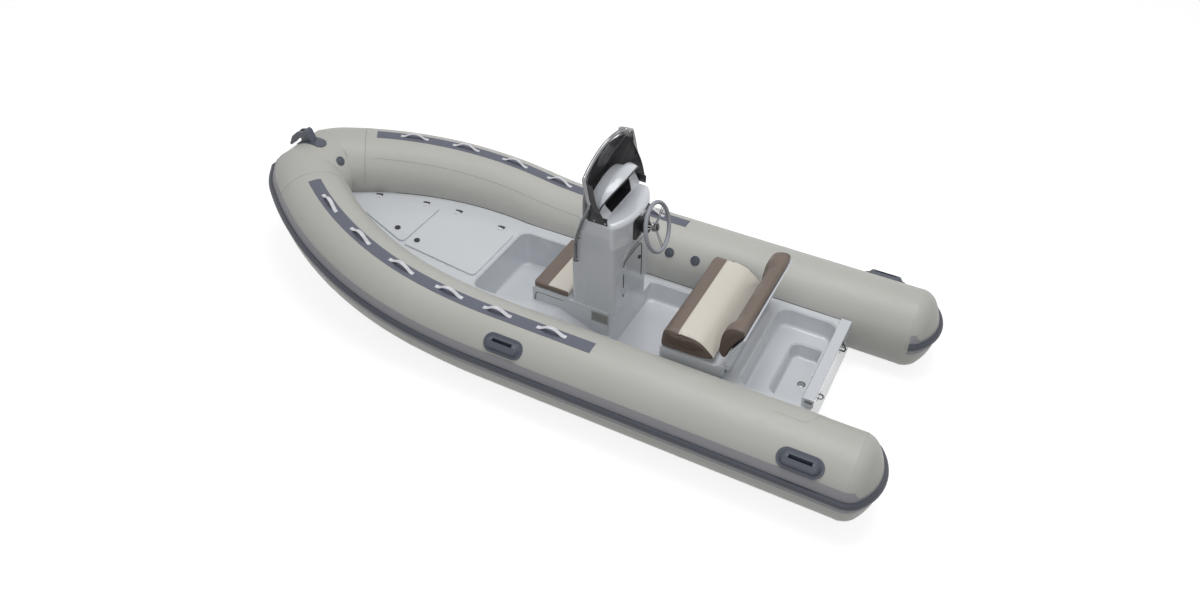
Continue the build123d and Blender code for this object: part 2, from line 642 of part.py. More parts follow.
def screen_outline(grow):
    """Plan of the screen: the console's top grown outwards, carried straight aft."""
    h, f = TOP_HALF + grow, TOP_FRONT + grow
    aft = TOP_AFT - 60
    edges = [Line((aft, h), (f - TOP_CROWN, h)), ThreePointArc((f - TOP_CROWN, h), (f, 0),
                                                               (f - TOP_CROWN, -h)),
             Line((f - TOP_CROWN, -h), (aft, -h)), Line((aft, -h), (aft, h))]
    face = make_face(edges)
    return fillet(face.vertices().sort_by(Axis.X)[-2:], 34 + grow)


def leaning(face, z0, z1, rake):
    """A plan outline carried up a raked direction."""
    low = Pos(-rake * (z0 - CONSOLE_Z), 0, z0) * face
    high = Pos(-rake * (z1 - CONSOLE_Z), 0, z1) * face
    return loft([low, high], ruled=True)


within = leaning(screen_outline(SCREEN_SEAT), CONSOLE_Z - 50, SCREEN_TOP + 80, SCREEN_RAKE)
sheet = leaning(screen_outline(SCREEN_SEAT + SCREEN_THICK), CONSOLE_Z, SCREEN_TOP + 30,
                SCREEN_RAKE) - within
sheet = sheet & side_plate([(1372, CONSOLE_Z), (1474, 1290), (1300, SCREEN_TOP + 40),
                            (1700, SCREEN_TOP + 40),
                            (1700, CONSOLE_Z)], 400)
front_view = arch(SCREEN_HALF + 5, CONSOLE_Z - 10, 1275, SCREEN_TOP)
PARTS["console_cowl"] = PARTS["console_cowl"] & within
sheet = sheet & extrude(across(1300, front_view), 400)
keep("windscreen", sheet)

RAIL_R = 11
RAIL = [(1577, 274, 729), (1568, 274, 905), (1482, 276, 1165), (1530, 252, 1300), (1496, 208, 1420),
        (1450, 104, 1518), (1394, 0, 1542)]
rail_points = RAIL + [(x, -y, z) for x, y, z in RAIL[-2::-1]]
rail_line = FilletPolyline(*rail_points, radius=42)
rail = sweep(Plane(rail_line @ 0, z_dir=rail_line % 0) * Circle(RAIL_R), path=rail_line)
feet = [Pos(x, side * (CONSOLE_HALF + 10), z) * Rot(90, 0, 0) * Cylinder(17, 22)
        for x, y, z in RAIL[:2] for side in (1, -1)]
for foot in feet:
    rail = rail + foot
rail = rail - outer
keep("screen_rail", rail)
plate = box(1374, 1500, SCREEN_HALF, SCREEN_HALF + 5, CONSOLE_Z, CONSOLE_Z + 48)
keep("screen_base_plates", Compound(children=[plate, mirrored(plate)]))

# ------------------------------------------------------------------ steering wheel
tilt = Plane((WHEEL_X, 0, WHEEL_Z), x_dir=(0, 1, 0),
             z_dir=(-math.cos(math.radians(WHEEL_TILT)), 0, math.sin(math.radians(WHEEL_TILT))))
HUB_BACK = -29          # aft of it the hub stands, ahead of it the shaft
rim = Torus(WHEEL_R, WHEEL_RIM)
hub = Pos(0, 0, HUB_BACK + 17) * Cylinder(30, 34)
spokes = [Rot(0, 0, 90 + 120 * k) * Pos(WHEEL_R / 2, 0, -6) * Box(WHEEL_R, 22, 6) for k in range(3)]
wheel = rim + hub
for spoke in spokes:
    wheel = wheel + spoke
keep("steering_wheel", tilt * wheel)
shaft_long = 64
shaft = Pos(0, 0, HUB_BACK - GAP - shaft_long / 2) * Cylinder(17, shaft_long)
shaft = tilt * (shaft + Pos(0, 0, HUB_BACK - GAP - shaft_long + 15) * Cylinder(38, 30))
shaft = shaft - console_form(-5)
keep("helm_shaft", shaft)

# ------------------------------------------------------------------ helm seat
seat = box(SEAT_AFT, SEAT_FRONT, -SEAT_HALF, SEAT_HALF, LEDGE_Z, SEAT_TOP)
seat = fillet(seat.edges().filter_by(Axis.Z), 30)
hold = box(SEAT_AFT + 22, SEAT_FRONT - 22, -SEAT_HALF + 22, SEAT_HALF - 22, LEDGE_Z + 12, SEAT_TOP + 1)
seat = seat - hold
for tube in (ALL_TUBE[0], ALL_TUBE[4]):
    seat = seat - tube
keep("helm_seat_box", seat)
lid_top = box(SEAT_AFT + GAP, SEAT_FRONT, -SEAT_HALF, SEAT_HALF, SEAT_TOP + GAP, SEAT_TOP + LID_THICK)
lid_top = fillet(lid_top.edges().filter_by(Axis.Z).sort_by(Axis.X)[-2:], 30)
SEAT_HINGE_R = 5
SEAT_HINGE_X = SEAT_AFT - SEAT_HINGE_R
SEAT_HINGE_Z = SEAT_TOP + SEAT_HINGE_R
BACK_PIN_R = 6
BACK_PIN_X = 508
BACK_PIN_Z = SEAT_TOP + 30
BACK_EAR_R = 11
EAR_THICK = 7
PANEL_LOW_HALF = SEAT_HALF - EAR_THICK - 6
seat_knuckles = []
for side in (1, -1):
    knuckle = Pos(SEAT_HINGE_X, side * 320, SEAT_HINGE_Z) * Rot(90, 0, 0) * Cylinder(SEAT_HINGE_R, 90)
    strap = box(SEAT_AFT - 5, SEAT_AFT, side * 320 - 40, side * 320 + 40, SEAT_TOP - 50, SEAT_HINGE_Z)
    seat_knuckles.append(knuckle + strap)
    ear = make_face(Polyline((BACK_PIN_X - 6, BACK_PIN_Z - 8), (545, SEAT_TOP + LID_THICK - 4),
                             (584, SEAT_TOP + LID_THICK - 4), (584, SEAT_TOP + LID_THICK + 6),
                             (BACK_PIN_X + 8, BACK_PIN_Z + 6), close=True))
    ear = extrude(Plane.XZ * ear, EAR_THICK / 2, both=True)
    boss = Pos(BACK_PIN_X, 0, BACK_PIN_Z) * Rot(90, 0, 0) * Cylinder(BACK_EAR_R, EAR_THICK)
    pin = Pos(BACK_PIN_X, -side * 11, BACK_PIN_Z) * Rot(90, 0, 0) * Cylinder(BACK_PIN_R, 28)
    lid_top = lid_top + Pos(0, side * (SEAT_HALF - EAR_THICK / 2), 0) * (ear + boss + pin)
keep("helm_seat_hinges", Compound(children=seat_knuckles))
keep("helm_seat_lid", lid_top)
z = SEAT_TOP + LID_THICK + GAP
profile = make_face([Line((588, z), (940, z)), Line((940, z), (946, z + 18)), Line((946, z + 18),
                                                                                   (934, 538)),
                     ThreePointArc((934, 538), (922, 554), (900, 560)), Line((900, 560), (800, 565)),
                     ThreePointArc((800, 565), (650, 522), (588, z))])
keep("helm_cushion", extrude(Plane.XZ * profile, SEAT_HALF, both=True))
back_profile = make_face([Line((558, 496), (582, 556)), Line((582, 556), (577, 633)),
                          ThreePointArc((577, 633), (552, 706), (494, 742)),
                          ThreePointArc((494, 742), (440, 735), (440, 690)),
                          Line((440, 690), (500, 585)), Line((500, 585), (532, 496)), Line((532, 496),
                                                                                           (558, 496))])
keep("helm_backrest", extrude(Plane.XZ * back_profile, BACK_HALF, both=True))
panel_profile = make_face(Polyline((500, 438), (516, 438), (531.5, 496), (499.6, 584.8), (439.6, 689.8),
                                   (430, 684),
                                   (488, 580), (514, 496), close=True))
back_panel = extrude(Plane.XZ * panel_profile, BACK_HALF, both=True)
back_panel = back_panel - box(480, 560, PANEL_LOW_HALF, 500, 400, 452) - box(480, 560, -500,
                                                                             -PANEL_LOW_HALF, 400, 452)
barrel = Pos(BACK_PIN_X, 0, BACK_PIN_Z) * Rot(90, 0, 0) * Cylinder(BACK_EAR_R, 2 * PANEL_LOW_HALF)
bore = Pos(BACK_PIN_X, 0, BACK_PIN_Z) * Rot(90, 0, 0) * Cylinder(BACK_PIN_R + 0.06, 1000)
keep("backrest_panel", back_panel + barrel - bore)

# ------------------------------------------------------------------ fittings on the tubes
STRAP_WIDE = 25
STRAP_THICK = 3
STRAP_HALF = 98
STRAP_HIGH = 38
STRAP_PITCH = 374
STRAP_COUNT = 6
STRAP_FIRST_X = 1510
STRAP_DEG = 87


def along_tube(distance, degrees):
    """Plane on the port tube at a distance forward of where it starts to rise.

    Its x runs forward along the tube and its z points out of the tube's skin.
    """
    if distance <= 0:
        base = RUNS[1][1].offset(distance)
    else:
        rise_long = math.radians(RISE_DEG) * RISE_R
        run, radius = (RUNS[1], RISE_R) if distance < rise_long else (RUNS[2], BOW_R)
        turn = math.degrees((distance if distance < rise_long else distance - rise_long) / radius)
        base = carried(run[1], run[3], turn)
    a = math.radians(degrees)
    out = base.x_dir * math.cos(a) + base.y_dir * math.sin(a)
    return Plane(base.origin + out * TUBE_R, x_dir=base.z_dir, z_dir=out)


def strap():
    """Webbing loop: an arch whose ends are glued down, drawn along x."""
    top = STRAP_HIGH
    outer_arc = ThreePointArc((-STRAP_HALF, 0), (0, top), (STRAP_HALF, 0))
    inner_arc = ThreePointArc((STRAP_HALF - 22, 0), (0, top - STRAP_THICK), (-STRAP_HALF + 22, 0))
    face = make_face([outer_arc, Line((STRAP_HALF, 0), (STRAP_HALF - 22, 0)), inner_arc,
                      Line((-STRAP_HALF + 22, 0), (-STRAP_HALF, 0))])
    return extrude(Plane.XZ * face, STRAP_WIDE / 2, both=True)


straps = []
for number in range(STRAP_COUNT):
    here = along_tube(STRAP_FIRST_X - RISE_X + number * STRAP_PITCH, STRAP_DEG)
    loop = here * Pos(0, 0, GRIP_THICK - 0.5) * strap()
    loop = loop - PARTS["grip_patch_port"] - PARTS["tube_port_aft"] - PARTS["tube_port_fwd"]
    straps.append(loop.solids().sort_by(SortBy.VOLUME)[-1])
keep("grab_straps_port", Compound(children=straps))
keep("grab_straps_starboard", Compound(children=[mirrored(loop) for loop in straps]))

HANDLE_LONG = 262
HANDLE_WIDE = 118
HANDLE_HIGH = 34
HANDLES = {"fwd": (1745, 44), "aft": (-79, 41)}


def carry_handle(degrees):
    """Moulded rubber handle: an oval flange, a domed bar, and behind the bar an upright finger pocket."""
    flange = extrude(SlotOverall(HANDLE_LONG, HANDLE_WIDE), 4)
    flange = flange + extrude(SlotOverall(HANDLE_LONG, HANDLE_WIDE), -12)
    low = SlotOverall(HANDLE_LONG - 26, HANDLE_WIDE - 30)
    high = Pos(0, 4, HANDLE_HIGH) * SlotOverall(HANDLE_LONG - 74, HANDLE_WIDE - 72)
    dome = loft([low, high], ruled=True)
    dome = fillet(dome.faces().sort_by(Axis.Z)[-1].edges(), 14)
    pocket = Pos(0, -14, 24) * Rot(-degrees, 0, 0) * Box(POCKET_LONG, 60, POCKET_WIDE)
    return flange + dome - pocket


POCKET_LONG = 132
POCKET_WIDE = 22
for name, (x, degrees) in HANDLES.items():
    grip_piece = along_tube(x - RISE_X, degrees) * carry_handle(degrees) - PARTS["tube_port_aft"]
    keep(f"carry_handle_port_{name}", grip_piece)
    keep(f"carry_handle_starboard_{name}", mirrored(grip_piece))

VALVE_R = 24
VALVE_DEG = 145
valves = [along_tube(x - RISE_X, VALVE_DEG) * (Pos(0, 0, 1) * Cylinder(VALVE_R, 8)) for x in (1267, 1081)]
valves = [valve - PARTS["tube_port_aft"] for valve in valves]
nose_valve = Plane((NOSE_AT.X, 0, NOSE_AT.Z), x_dir=(0, 1, 0), z_dir=(-0.8, 0, 0.6)).offset(TUBE_R)
nose_valve = nose_valve * Pos(0, 0, 1) * Cylinder(VALVE_R, 8) - PARTS["tube_nose"]
keep("inflation_valves", Compound(children=[mirrored(valve) for valve in valves] + [nose_valve]))

# bow fairlead: a lozenge pad on the nose with a beak for the anchor line
pad = Pos(STEM_X + 42, 0, NOSE_AT.Z) * extrude(SlotOverall(250, 92), TUBE_R + 60)
pad = pad & (Pos(NOSE_AT.X, 0, NOSE_AT.Z) * Rot(90, 0, 0) * Cylinder(TUBE_R + 5, 200))
BEAK_Z = NOSE_AT.Z + 224.9678  # foot of the beak, inside the tube's skin
beak = make_face(Polyline((0, 0), (38, 102), (62, 110), (72, 96), (130, 78), (185, 30), (220, -38),
                          (208, -46), (162, 2), (100, 42), (105, 0), close=True))
beak = Pos(STEM_X, 0, BEAK_Z) * extrude(Plane.XZ * beak, 30, both=True)
beak = beak - (Pos(STEM_X + 100, 0, BEAK_Z + 98) * Rot(0, 32, 0) * Box(150, 36, 30))
keep("bow_fairlead", pad + beak - PARTS["tube_nose"])

# towing eyes
EYE_R = 5
EYE_REACH = 24


def towing_eye():
    """U-bolt on its backing plate; it stands out along z."""
    plate_piece = Pos(0, 0, 2) * Box(66, 22, 4)
    bow_part = Pos(0, 0, 4 + EYE_REACH - 18) * Rot(90, 0, 0) * (Torus(18, EYE_R))
    bow_part = bow_part & (Pos(0, 0, 14 + 50) * Box(100, 30, 100 + 0))
    legs = [Pos(side * 18, 0, 8) * Cylinder(EYE_R, 14) for side in (1, -1)]
    return plate_piece + bow_part + legs[0] + legs[1]


stern_eyes = [Plane((0, side * 226, 292), x_dir=(0, 1, 0), z_dir=(-1, 0,
                                                                  0)) * towing_eye() for side in (1, -1)]
keep("stern_eyes", Compound(children=stern_eyes))

EYE_X = STEM_X - 110            # the bow eye stands on the keel, under the nose
keel_lean = math.atan2(stations[-1][1] - stations[-2][1], stations[-1][0] - stations[-2][0])
eye_z = stations[-2][1] + (EYE_X - stations[-2][0]) * math.tan(keel_lean)
on_keel = Plane((EYE_X, 0, eye_z), x_dir=(math.cos(keel_lean), 0, math.sin(keel_lean)),
                z_dir=(math.sin(keel_lean), 0, -math.cos(keel_lean)))
bow_eye = on_keel * (towing_eye() + Pos(0, 0, -8) * Box(70, 22, 20))
keep("bow_eye", bow_eye - PARTS["hull"])

# the deck moulding in four lengths, joined face to face where its own steps and bends are
DECK_LENGTHS = {"deck_aft": (0, SEAT_AFT), "deck_cockpit": (SEAT_AFT, LEDGE_UP_X),
                "deck_foot_well": (LEDGE_UP_X, BOW_DECK_X), "deck_bow": (BOW_DECK_X, STEM_X + 300)}
deck = PARTS.pop("deck_liner")
for name, (aft_end, fore_end) in DECK_LENGTHS.items():
    keep(name, deck & box(aft_end, fore_end, -TUBE_Y, TUBE_Y, KEEL_Z, HULL_HIGH))

for name, shape in PARTS.items():
    export_step(shape, f"parts/{name}.step")
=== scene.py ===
"""Rigid inflatable boat: the looks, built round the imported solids.

Metres, in the frame of the solids: +X to the bow, +Y to port, +Z up, and z = 0 is the water.
"""
import bpy
import math
import numpy as np
from mathutils import Matrix, Vector


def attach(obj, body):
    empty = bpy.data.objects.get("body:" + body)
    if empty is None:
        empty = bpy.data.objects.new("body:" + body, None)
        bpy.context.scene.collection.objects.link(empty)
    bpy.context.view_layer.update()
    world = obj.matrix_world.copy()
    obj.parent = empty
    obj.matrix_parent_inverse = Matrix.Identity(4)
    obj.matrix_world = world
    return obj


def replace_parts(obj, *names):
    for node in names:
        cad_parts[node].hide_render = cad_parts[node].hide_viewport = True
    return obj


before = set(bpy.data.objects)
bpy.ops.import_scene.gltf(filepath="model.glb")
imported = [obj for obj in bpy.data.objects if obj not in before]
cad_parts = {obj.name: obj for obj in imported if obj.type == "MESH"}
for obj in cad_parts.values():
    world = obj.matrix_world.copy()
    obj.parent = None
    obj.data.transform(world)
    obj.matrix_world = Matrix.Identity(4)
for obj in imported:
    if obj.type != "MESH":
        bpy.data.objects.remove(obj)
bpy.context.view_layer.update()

# ---------------------------------------------------------------- camera
# It stands off the port quarter, well above the boat, and is rolled by about a degree.
# Angles are in degrees, and the lens and its sensor in millimetres.
CAMERA_AT = (-0.5653, 4.1543, 4.2377)
CAMERA_AZIMUTH, CAMERA_ELEVATION, CAMERA_ROLL = 206.91, 40.76, 0.96
CAMERA_LENS, CAMERA_SENSOR = 28.12, 36.0
NEAREST, FURTHEST = 0.05, 60.0

azimuth, elevation, roll = (math.radians(v) for v in (CAMERA_AZIMUTH, CAMERA_ELEVATION, CAMERA_ROLL))
reach = math.cos(elevation)
back = Vector((math.sin(azimuth) * reach, -math.cos(azimuth) * reach, math.sin(elevation)))
level = Vector((0, 0, 1)).cross(back).normalized()
rise = back.cross(level)
across = level * math.cos(roll) + rise * math.sin(roll)
upright = rise * math.cos(roll) - level * math.sin(roll)
lens = bpy.data.cameras.new("camera")
lens.lens, lens.sensor_width, lens.clip_start, lens.clip_end = CAMERA_LENS, CAMERA_SENSOR, NEAREST, FURTHEST
camera = bpy.data.objects.new("camera", lens)
camera.matrix_world = (Matrix.Translation(CAMERA_AT)
                       @ Matrix((across, upright, back)).transposed().to_4x4())
bpy.context.scene.collection.objects.link(camera)
bpy.context.scene.camera = camera

# ---------------------------------------------------------------- studio
# A white room: a broad soft lamp overhead, weaker ones to port and ahead, and a pale floor at the water.
# Room and floor look white to the eye and in reflections, but shed less light than white would.
bpy.context.scene.view_settings.view_transform = "Standard"


def lamp(name, at, aim, size, power):
    """Square area lamp at a point, turned towards another."""
    light = bpy.data.lights.new(name, "AREA")
    light.shape, light.size, light.energy = "SQUARE", size, power
    thing = bpy.data.objects.new(name, light)
    thing.location = at
    thing.rotation_mode = "QUATERNION"
    thing.rotation_quaternion = (Vector(at) - Vector(aim)).to_track_quat("Z", "Y")
    bpy.context.scene.collection.objects.link(thing)


MIDSHIPS = (1.9, 0, 0.4)
lamp("lamp_top", (0.9, -0.5, 6.6), MIDSHIPS, size=4.2, power=232)
lamp("lamp_port", (-1.5, 6.5, 4.5), MIDSHIPS, size=3.0, power=66)
lamp("lamp_bow", (7.5, 1.0, 3.5), MIDSHIPS, size=3.0, power=14)

ROOM_FILL = 0.29
world = bpy.data.worlds.new("room")
bpy.context.scene.world = world
world.use_nodes = True
room_nodes, room_links = world.node_tree.nodes, world.node_tree.links
ray = room_nodes.new("ShaderNodeLightPath")
seen = room_nodes.new("ShaderNodeMath")
seen.operation = "MAXIMUM"
room_links.new(ray.outputs["Is Camera Ray"], seen.inputs[0])
room_links.new(ray.outputs["Is Glossy Ray"], seen.inputs[1])
strength = room_nodes.new("ShaderNodeMapRange")
room_links.new(seen.outputs[0], strength.inputs["Value"])
strength.inputs["To Min"].default_value = ROOM_FILL
strength.inputs["To Max"].default_value = 1.0
room_links.new(strength.outputs["Result"], room_nodes["Background"].inputs["Strength"])
room_nodes["Background"].inputs["Color"].default_value = (1, 1, 1, 1)

FLOOR_HALF = 30.0
floor_corners = [(x * FLOOR_HALF, y * FLOOR_HALF, 0.0) for x, y in ((-1, -1), (1, -1), (1, 1), (-1, 1))]
floor_mesh = bpy.data.meshes.new("water_floor")
floor_mesh.from_pydata(floor_corners, [], [(0, 1, 2, 3)])
floor = bpy.data.objects.new("water_floor", floor_mesh)
bpy.context.scene.collection.objects.link(floor)


class Wire:
    """One output in a material's node tree; arithmetic on wires adds Math nodes."""

    def __init__(self, finish, socket):
        self.finish, self.socket = finish, socket

    def maths(self, operation, *values):
        """A Math node on this finish; the values are wires or numbers."""
        return self.finish.node("ShaderNodeMath", {"operation": operation}, dict(enumerate(values)))

    def __add__(self, other):
        return self.maths("ADD", self, other)

    def __mul__(self, other):
        return self.maths("MULTIPLY", self, other)

    def __lt__(self, other):
        return self.maths("LESS_THAN", self, other)

    def __abs__(self):
        return self.maths("ABSOLUTE", self)

    __radd__, __rmul__ = __add__, __mul__


class Finish:
    """A material whose nodes are added one at a time round its Principled shader."""

    def __init__(self, name, colour, roughness, **fixed):
        self.material = bpy.data.materials.new(name)
        self.material.use_nodes = True
        self.tree = self.material.node_tree
        self.shader = self.tree.nodes["Principled BSDF"]
        self.feed("Base Color", colour)
        self.feed("Roughness", roughness)
        for socket, value in fixed.items():
            self.feed(socket.replace("_", " "), value)
        self.material.diffuse_color = colour

    def node(self, kind, settings, sockets, output=0):
        """Adds a node: its settings first, then the values or wires of its sockets."""
        made = self.tree.nodes.new(kind)
        for key, value in settings.items():
            setattr(made, key, value)
        for key, value in sockets.items():
            self.put(made.inputs[key], value)
        return Wire(self, made.outputs[output])

    def put(self, socket, value):
        """Links a wire to a socket, or sets the socket to a value."""
        if isinstance(value, Wire):
            self.tree.links.new(value.socket, socket)
        else:
            socket.default_value = value

    def feed(self, socket, value):
        """Puts a wire or a value into one of the shader's own sockets."""
        self.put(self.shader.inputs[socket], value)

    def place(self, scale=(1, 1, 1), turn=(0, 0, 0)):
        """Object coordinates in metres, stretched and turned, so a pattern keeps its real size."""
        here = self.node("ShaderNodeTexCoord", {}, {}, "Object")
        return self.node("ShaderNodeMapping", {}, {0: here, "Scale": scale, "Rotation": turn})

    def noise(self, scale, detail=2.0, roughness=0.5, vector=None):
        """Cloudy noise from 0 to 1."""
        sockets = {"Vector": vector or self.place(), "Scale": scale, "Detail": detail, "Roughness": roughness}
        return self.node("ShaderNodeTexNoise", {}, sockets)

    def waves(self, scale, way, vector=None):
        """Straight ripples from 0 to 1, each about 0.3 m long divided by the scale."""
        sockets = {"Vector": vector or self.place(), "Scale": scale}
        return self.node("ShaderNodeTexWave", {"bands_direction": way}, sockets, 1)

    def cells(self, scale):
        """Rounded cells: 0 at their middles, higher towards the lines between them."""
        sockets = {"Vector": self.place(), "Scale": scale}
        return self.node("ShaderNodeTexVoronoi", {"feature": "SMOOTH_F1"}, sockets)

    def mix(self, factor, first, second):
        """Colour between two colours; 6, 7 and 2 are where a colour mix has its sockets."""
        sockets = {"Factor": factor, 6: first, 7: second}
        return self.node("ShaderNodeMix", {"data_type": "RGBA"}, sockets, 2)

    def ease(self, value, low, high, to_low=0.0, to_high=1.0):
        """Smooth step of a value between two limits."""
        sockets = {"Value": value, "From Min": low, "From Max": high, "To Min": to_low, "To Max": to_high}
        return self.node("ShaderNodeMapRange", {"interpolation_type": "SMOOTHSTEP"}, sockets)

    def bump(self, height, distance, strength=1.0):
        """Feeds the shader's normal from a height; the distance is in metres."""
        sockets = {"Height": height, "Distance": distance, "Strength": strength}
        self.feed("Normal", self.node("ShaderNodeBump", {}, sockets))


water = Finish("pale_floor", (0.42, 0.42, 0.425, 1), 0.9, Emission_Strength=0.8)
eye = water.node("ShaderNodeLightPath", {}, {}, "Is Camera Ray")
gloss = water.node("ShaderNodeLightPath", {}, {}, "Is Glossy Ray")
water.feed("Emission Color", water.mix(eye.maths("MAXIMUM", eye, gloss), (0, 0, 0, 1), (1, 1, 1, 1)))
floor.data.materials.append(water.material)

# ---------------------------------------------------------------- the collar
# Two side tubes and a nose of coated fabric, pumped up hard. The fabric is matt, with a fine cross weave
# under its coat, and swells a little where its cut panels pull.


def linear(red, green, blue):
    """Colour from 0 to 255 as it looks on a screen, as the linear values that a shader takes."""
    share = np.array([red, green, blue]) / 255
    low = share <= 0.04045
    return tuple(np.where(low, share / 12.92, ((share + 0.055) / 1.055) ** 2.4)) + (1.0,)


def dress(finish, *nodes):
    """Gives a finish to solids that stay as they are."""
    for node in nodes:
        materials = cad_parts[node].data.materials
        materials.clear()
        materials.append(finish.material)


fabric = Finish("tube_fabric", linear(188, 188, 183), 0.5, Coat_Weight=0.05, Coat_Roughness=0.35)
clouds, dust = fabric.noise(1.4, 3.0), fabric.noise(38.0, 4.0, 0.6)
fabric.feed("Base Color", fabric.mix(clouds * 0.7 + dust * 0.3, linear(183, 183, 177), linear(194, 194, 189)))
fabric.feed("Roughness", fabric.ease(dust, 0.3, 0.7, 0.42, 0.56))
weave = (fabric.waves(330.0, "X") + fabric.waves(330.0, "Z")) * 0.05 + fabric.noise(900.0, 2.0) * 0.1
swells = fabric.noise(5.0, 2.0, vector=fabric.place((1.0, 2.0, 2.0)))
fabric.bump(weave + swells * 3.0, 0.0012, 0.6)
dress(fabric, "tube_port_aft", "tube_port_fwd", "tube_starboard_aft", "tube_starboard_fwd", "tube_nose")

# ---------------------------------------------------------------- seam tapes
# The tubes are cut in panels that lap. A tape of the same fabric, 32 mm wide, is glued over every lap,
# right round the tube, with its edges pressed down to the skin.
# Measures are in millimetres, like the drawings of the solids, and turn into metres as a piece is made.
MM = 0.001


def grid_faces(rows, columns, ring_rows=False, ring_columns=True):
    """Quads between neighbours in a grid of points; a ring's last line meets its first."""
    row = np.arange(rows if ring_rows else rows - 1)
    column = np.arange(columns if ring_columns else columns - 1)
    row, column = (v.ravel() for v in np.meshgrid(row, column, indexing="ij"))
    below, beside = (row + 1) % rows, (column + 1) % columns
    quads = np.stack([row * columns + column, row * columns + beside, below * columns + beside,
                      below * columns + column], axis=1)
    return quads.tolist()


def capped(grid):
    """Points and faces of a grid whose rows are closed outlines, with a face on its first and last."""
    rows, columns = grid.shape[:2]
    ends = [list(range(columns))[::-1], list(range((rows - 1) * columns, rows * columns))]
    return grid.reshape(-1, 3), grid_faces(rows, columns) + ends


def joined(parts):
    """One set of points and faces out of several."""
    starts = np.cumsum([0] + [len(points) for points, _ in parts])
    faces = [[start + corner for corner in face] for start, (_, some) in zip(starts, parts) for face in some]
    return np.concatenate([points for points, _ in parts]), faces


def flipped(part):
    """The same points, with every face turned over."""
    points, faces = part
    return points, [face[::-1] for face in faces]


def mirrored(part):
    """The same shape on the other side of the boat."""
    points, faces = flipped(part)
    return points * (1, -1, 1), faces


def piece(name, part, finish, body="boat", crease=40):
    """An object from points in millimetres; edges sharper than the crease in degrees stay sharp."""
    points, faces = part
    mesh = bpy.data.meshes.new(name)
    mesh.from_pydata((np.asarray(points) * MM).tolist(), [], faces)
    mesh.validate()
    mesh.shade_smooth()
    mesh.set_sharp_from_angle(angle=math.radians(crease))
    mesh.materials.append(finish.material)
    thing = bpy.data.objects.new(name, mesh)
    bpy.context.scene.collection.objects.link(thing)
    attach(thing, body)
    return thing


# The port tube's middle runs straight, then rises in one arc and bends inboard in another.
TUBE_R, TUBE_Y, TUBE_Z = 250.0, 673.0, 255.0
RISE_X, RISE_R, RISE = 1916.0, 3085.0, math.radians(9)
BOW_R, BEND = 2167.0, math.radians(38.5)


def on_tube(distance, degrees, lift=0.0):
    """Points on the port tube: its circle of radius TUBE_R + lift, carried along its middle line.

    distance runs ahead from where the rise begins, and degrees go up from the tube's outer side.
    """
    distance, degrees, lift = np.broadcast_arrays(distance, degrees, lift)
    theta = np.clip(distance / RISE_R, 0, RISE)
    heading = np.clip((distance - RISE * RISE_R) / BOW_R, 0, BEND)
    zero = np.zeros_like(theta)
    forward = np.stack([np.cos(theta), zero, np.sin(theta)], -1)
    outboard = np.stack([zero, zero + 1, zero], -1)
    upward = np.stack([-np.sin(theta), zero, np.cos(theta)], -1)
    middle = np.stack([RISE_X + np.minimum(distance, 0) + RISE_R * np.sin(theta), zero + TUBE_Y,
                       TUBE_Z + RISE_R * (1 - np.cos(theta))], -1)
    turn = heading[..., None]
    middle = middle + BOW_R * (forward * np.sin(turn) - outboard * (1 - np.cos(turn)))
    out = forward * np.sin(turn) + outboard * np.cos(turn)
    round_it = np.radians(degrees)[..., None]
    return middle + (TUBE_R + lift)[..., None] * (out * np.cos(round_it) + upward * np.sin(round_it))


TAPES = (-2244.0, -1330.0, -420.0, 500.0, 1150.0, 1790.0)
TAPE_HALF, TAPE_THICK, TAPE_EDGE, TAPE_SUNK = 16.0, 0.7, 0.8, -0.6
tape_section = ((-TAPE_HALF, TAPE_SUNK), (TAPE_EDGE - TAPE_HALF, TAPE_THICK),
                (TAPE_HALF - TAPE_EDGE, TAPE_THICK), (TAPE_HALF, TAPE_SUNK))
turn = np.linspace(0, 360, 96, endpoint=False)
tapes = [capped(np.array([on_tube(distance + offset, turn, lift) for offset, lift in tape_section]))
         for distance in TAPES]
tapes += [mirrored(tape) for tape in tapes]
piece("seam_tapes", joined(tapes), fabric)

# ---------------------------------------------------------------- lap shade lines
# Along each tube's inner side the panel's two edges lap, and one more lap crosses the tube at the bow.
# A fine dark line is laid along each lap: painted shade at the lap's edge.


def grained(name, colour, spread, grain, rough, cloud=3.0, **fixed):
    """A finish with cloudy colour and roughness, and a fine grain.

    Its colour runs from (1 - spread) to (1 + spread) times itself. grain is the grains in a metre and their
    depth in metres, and rough is the middle of its roughness and how far that strays.
    """
    middle, stray = rough
    finish = Finish(name, colour, middle, **fixed)
    clouds = finish.noise(cloud, 4.0)
    dark, light = (tuple(np.clip(np.array(colour[:3]) * share, 0, 1)) + (1.0,)
                   for share in (1 - spread, 1 + spread))
    finish.feed("Base Color", finish.mix(clouds, dark, light))
    finish.feed("Roughness", finish.ease(clouds, 0.25, 0.75, middle - stray, middle + stray))
    finish.bump(finish.noise(grain[0], 3.0), grain[1])
    return finish


def unit(vectors):
    """Vectors of length 1."""
    vectors = np.asarray(vectors, float)
    return vectors / np.linalg.norm(vectors, axis=-1, keepdims=True)


def square_to(axis):
    """Two unit directions square to an axis."""
    axis = unit(axis)
    side = unit(np.cross(axis, (0.0, 0.0, 1.0) if abs(axis[2]) < 0.9 else (0.0, 1.0, 0.0)))
    return side, np.cross(axis, side)


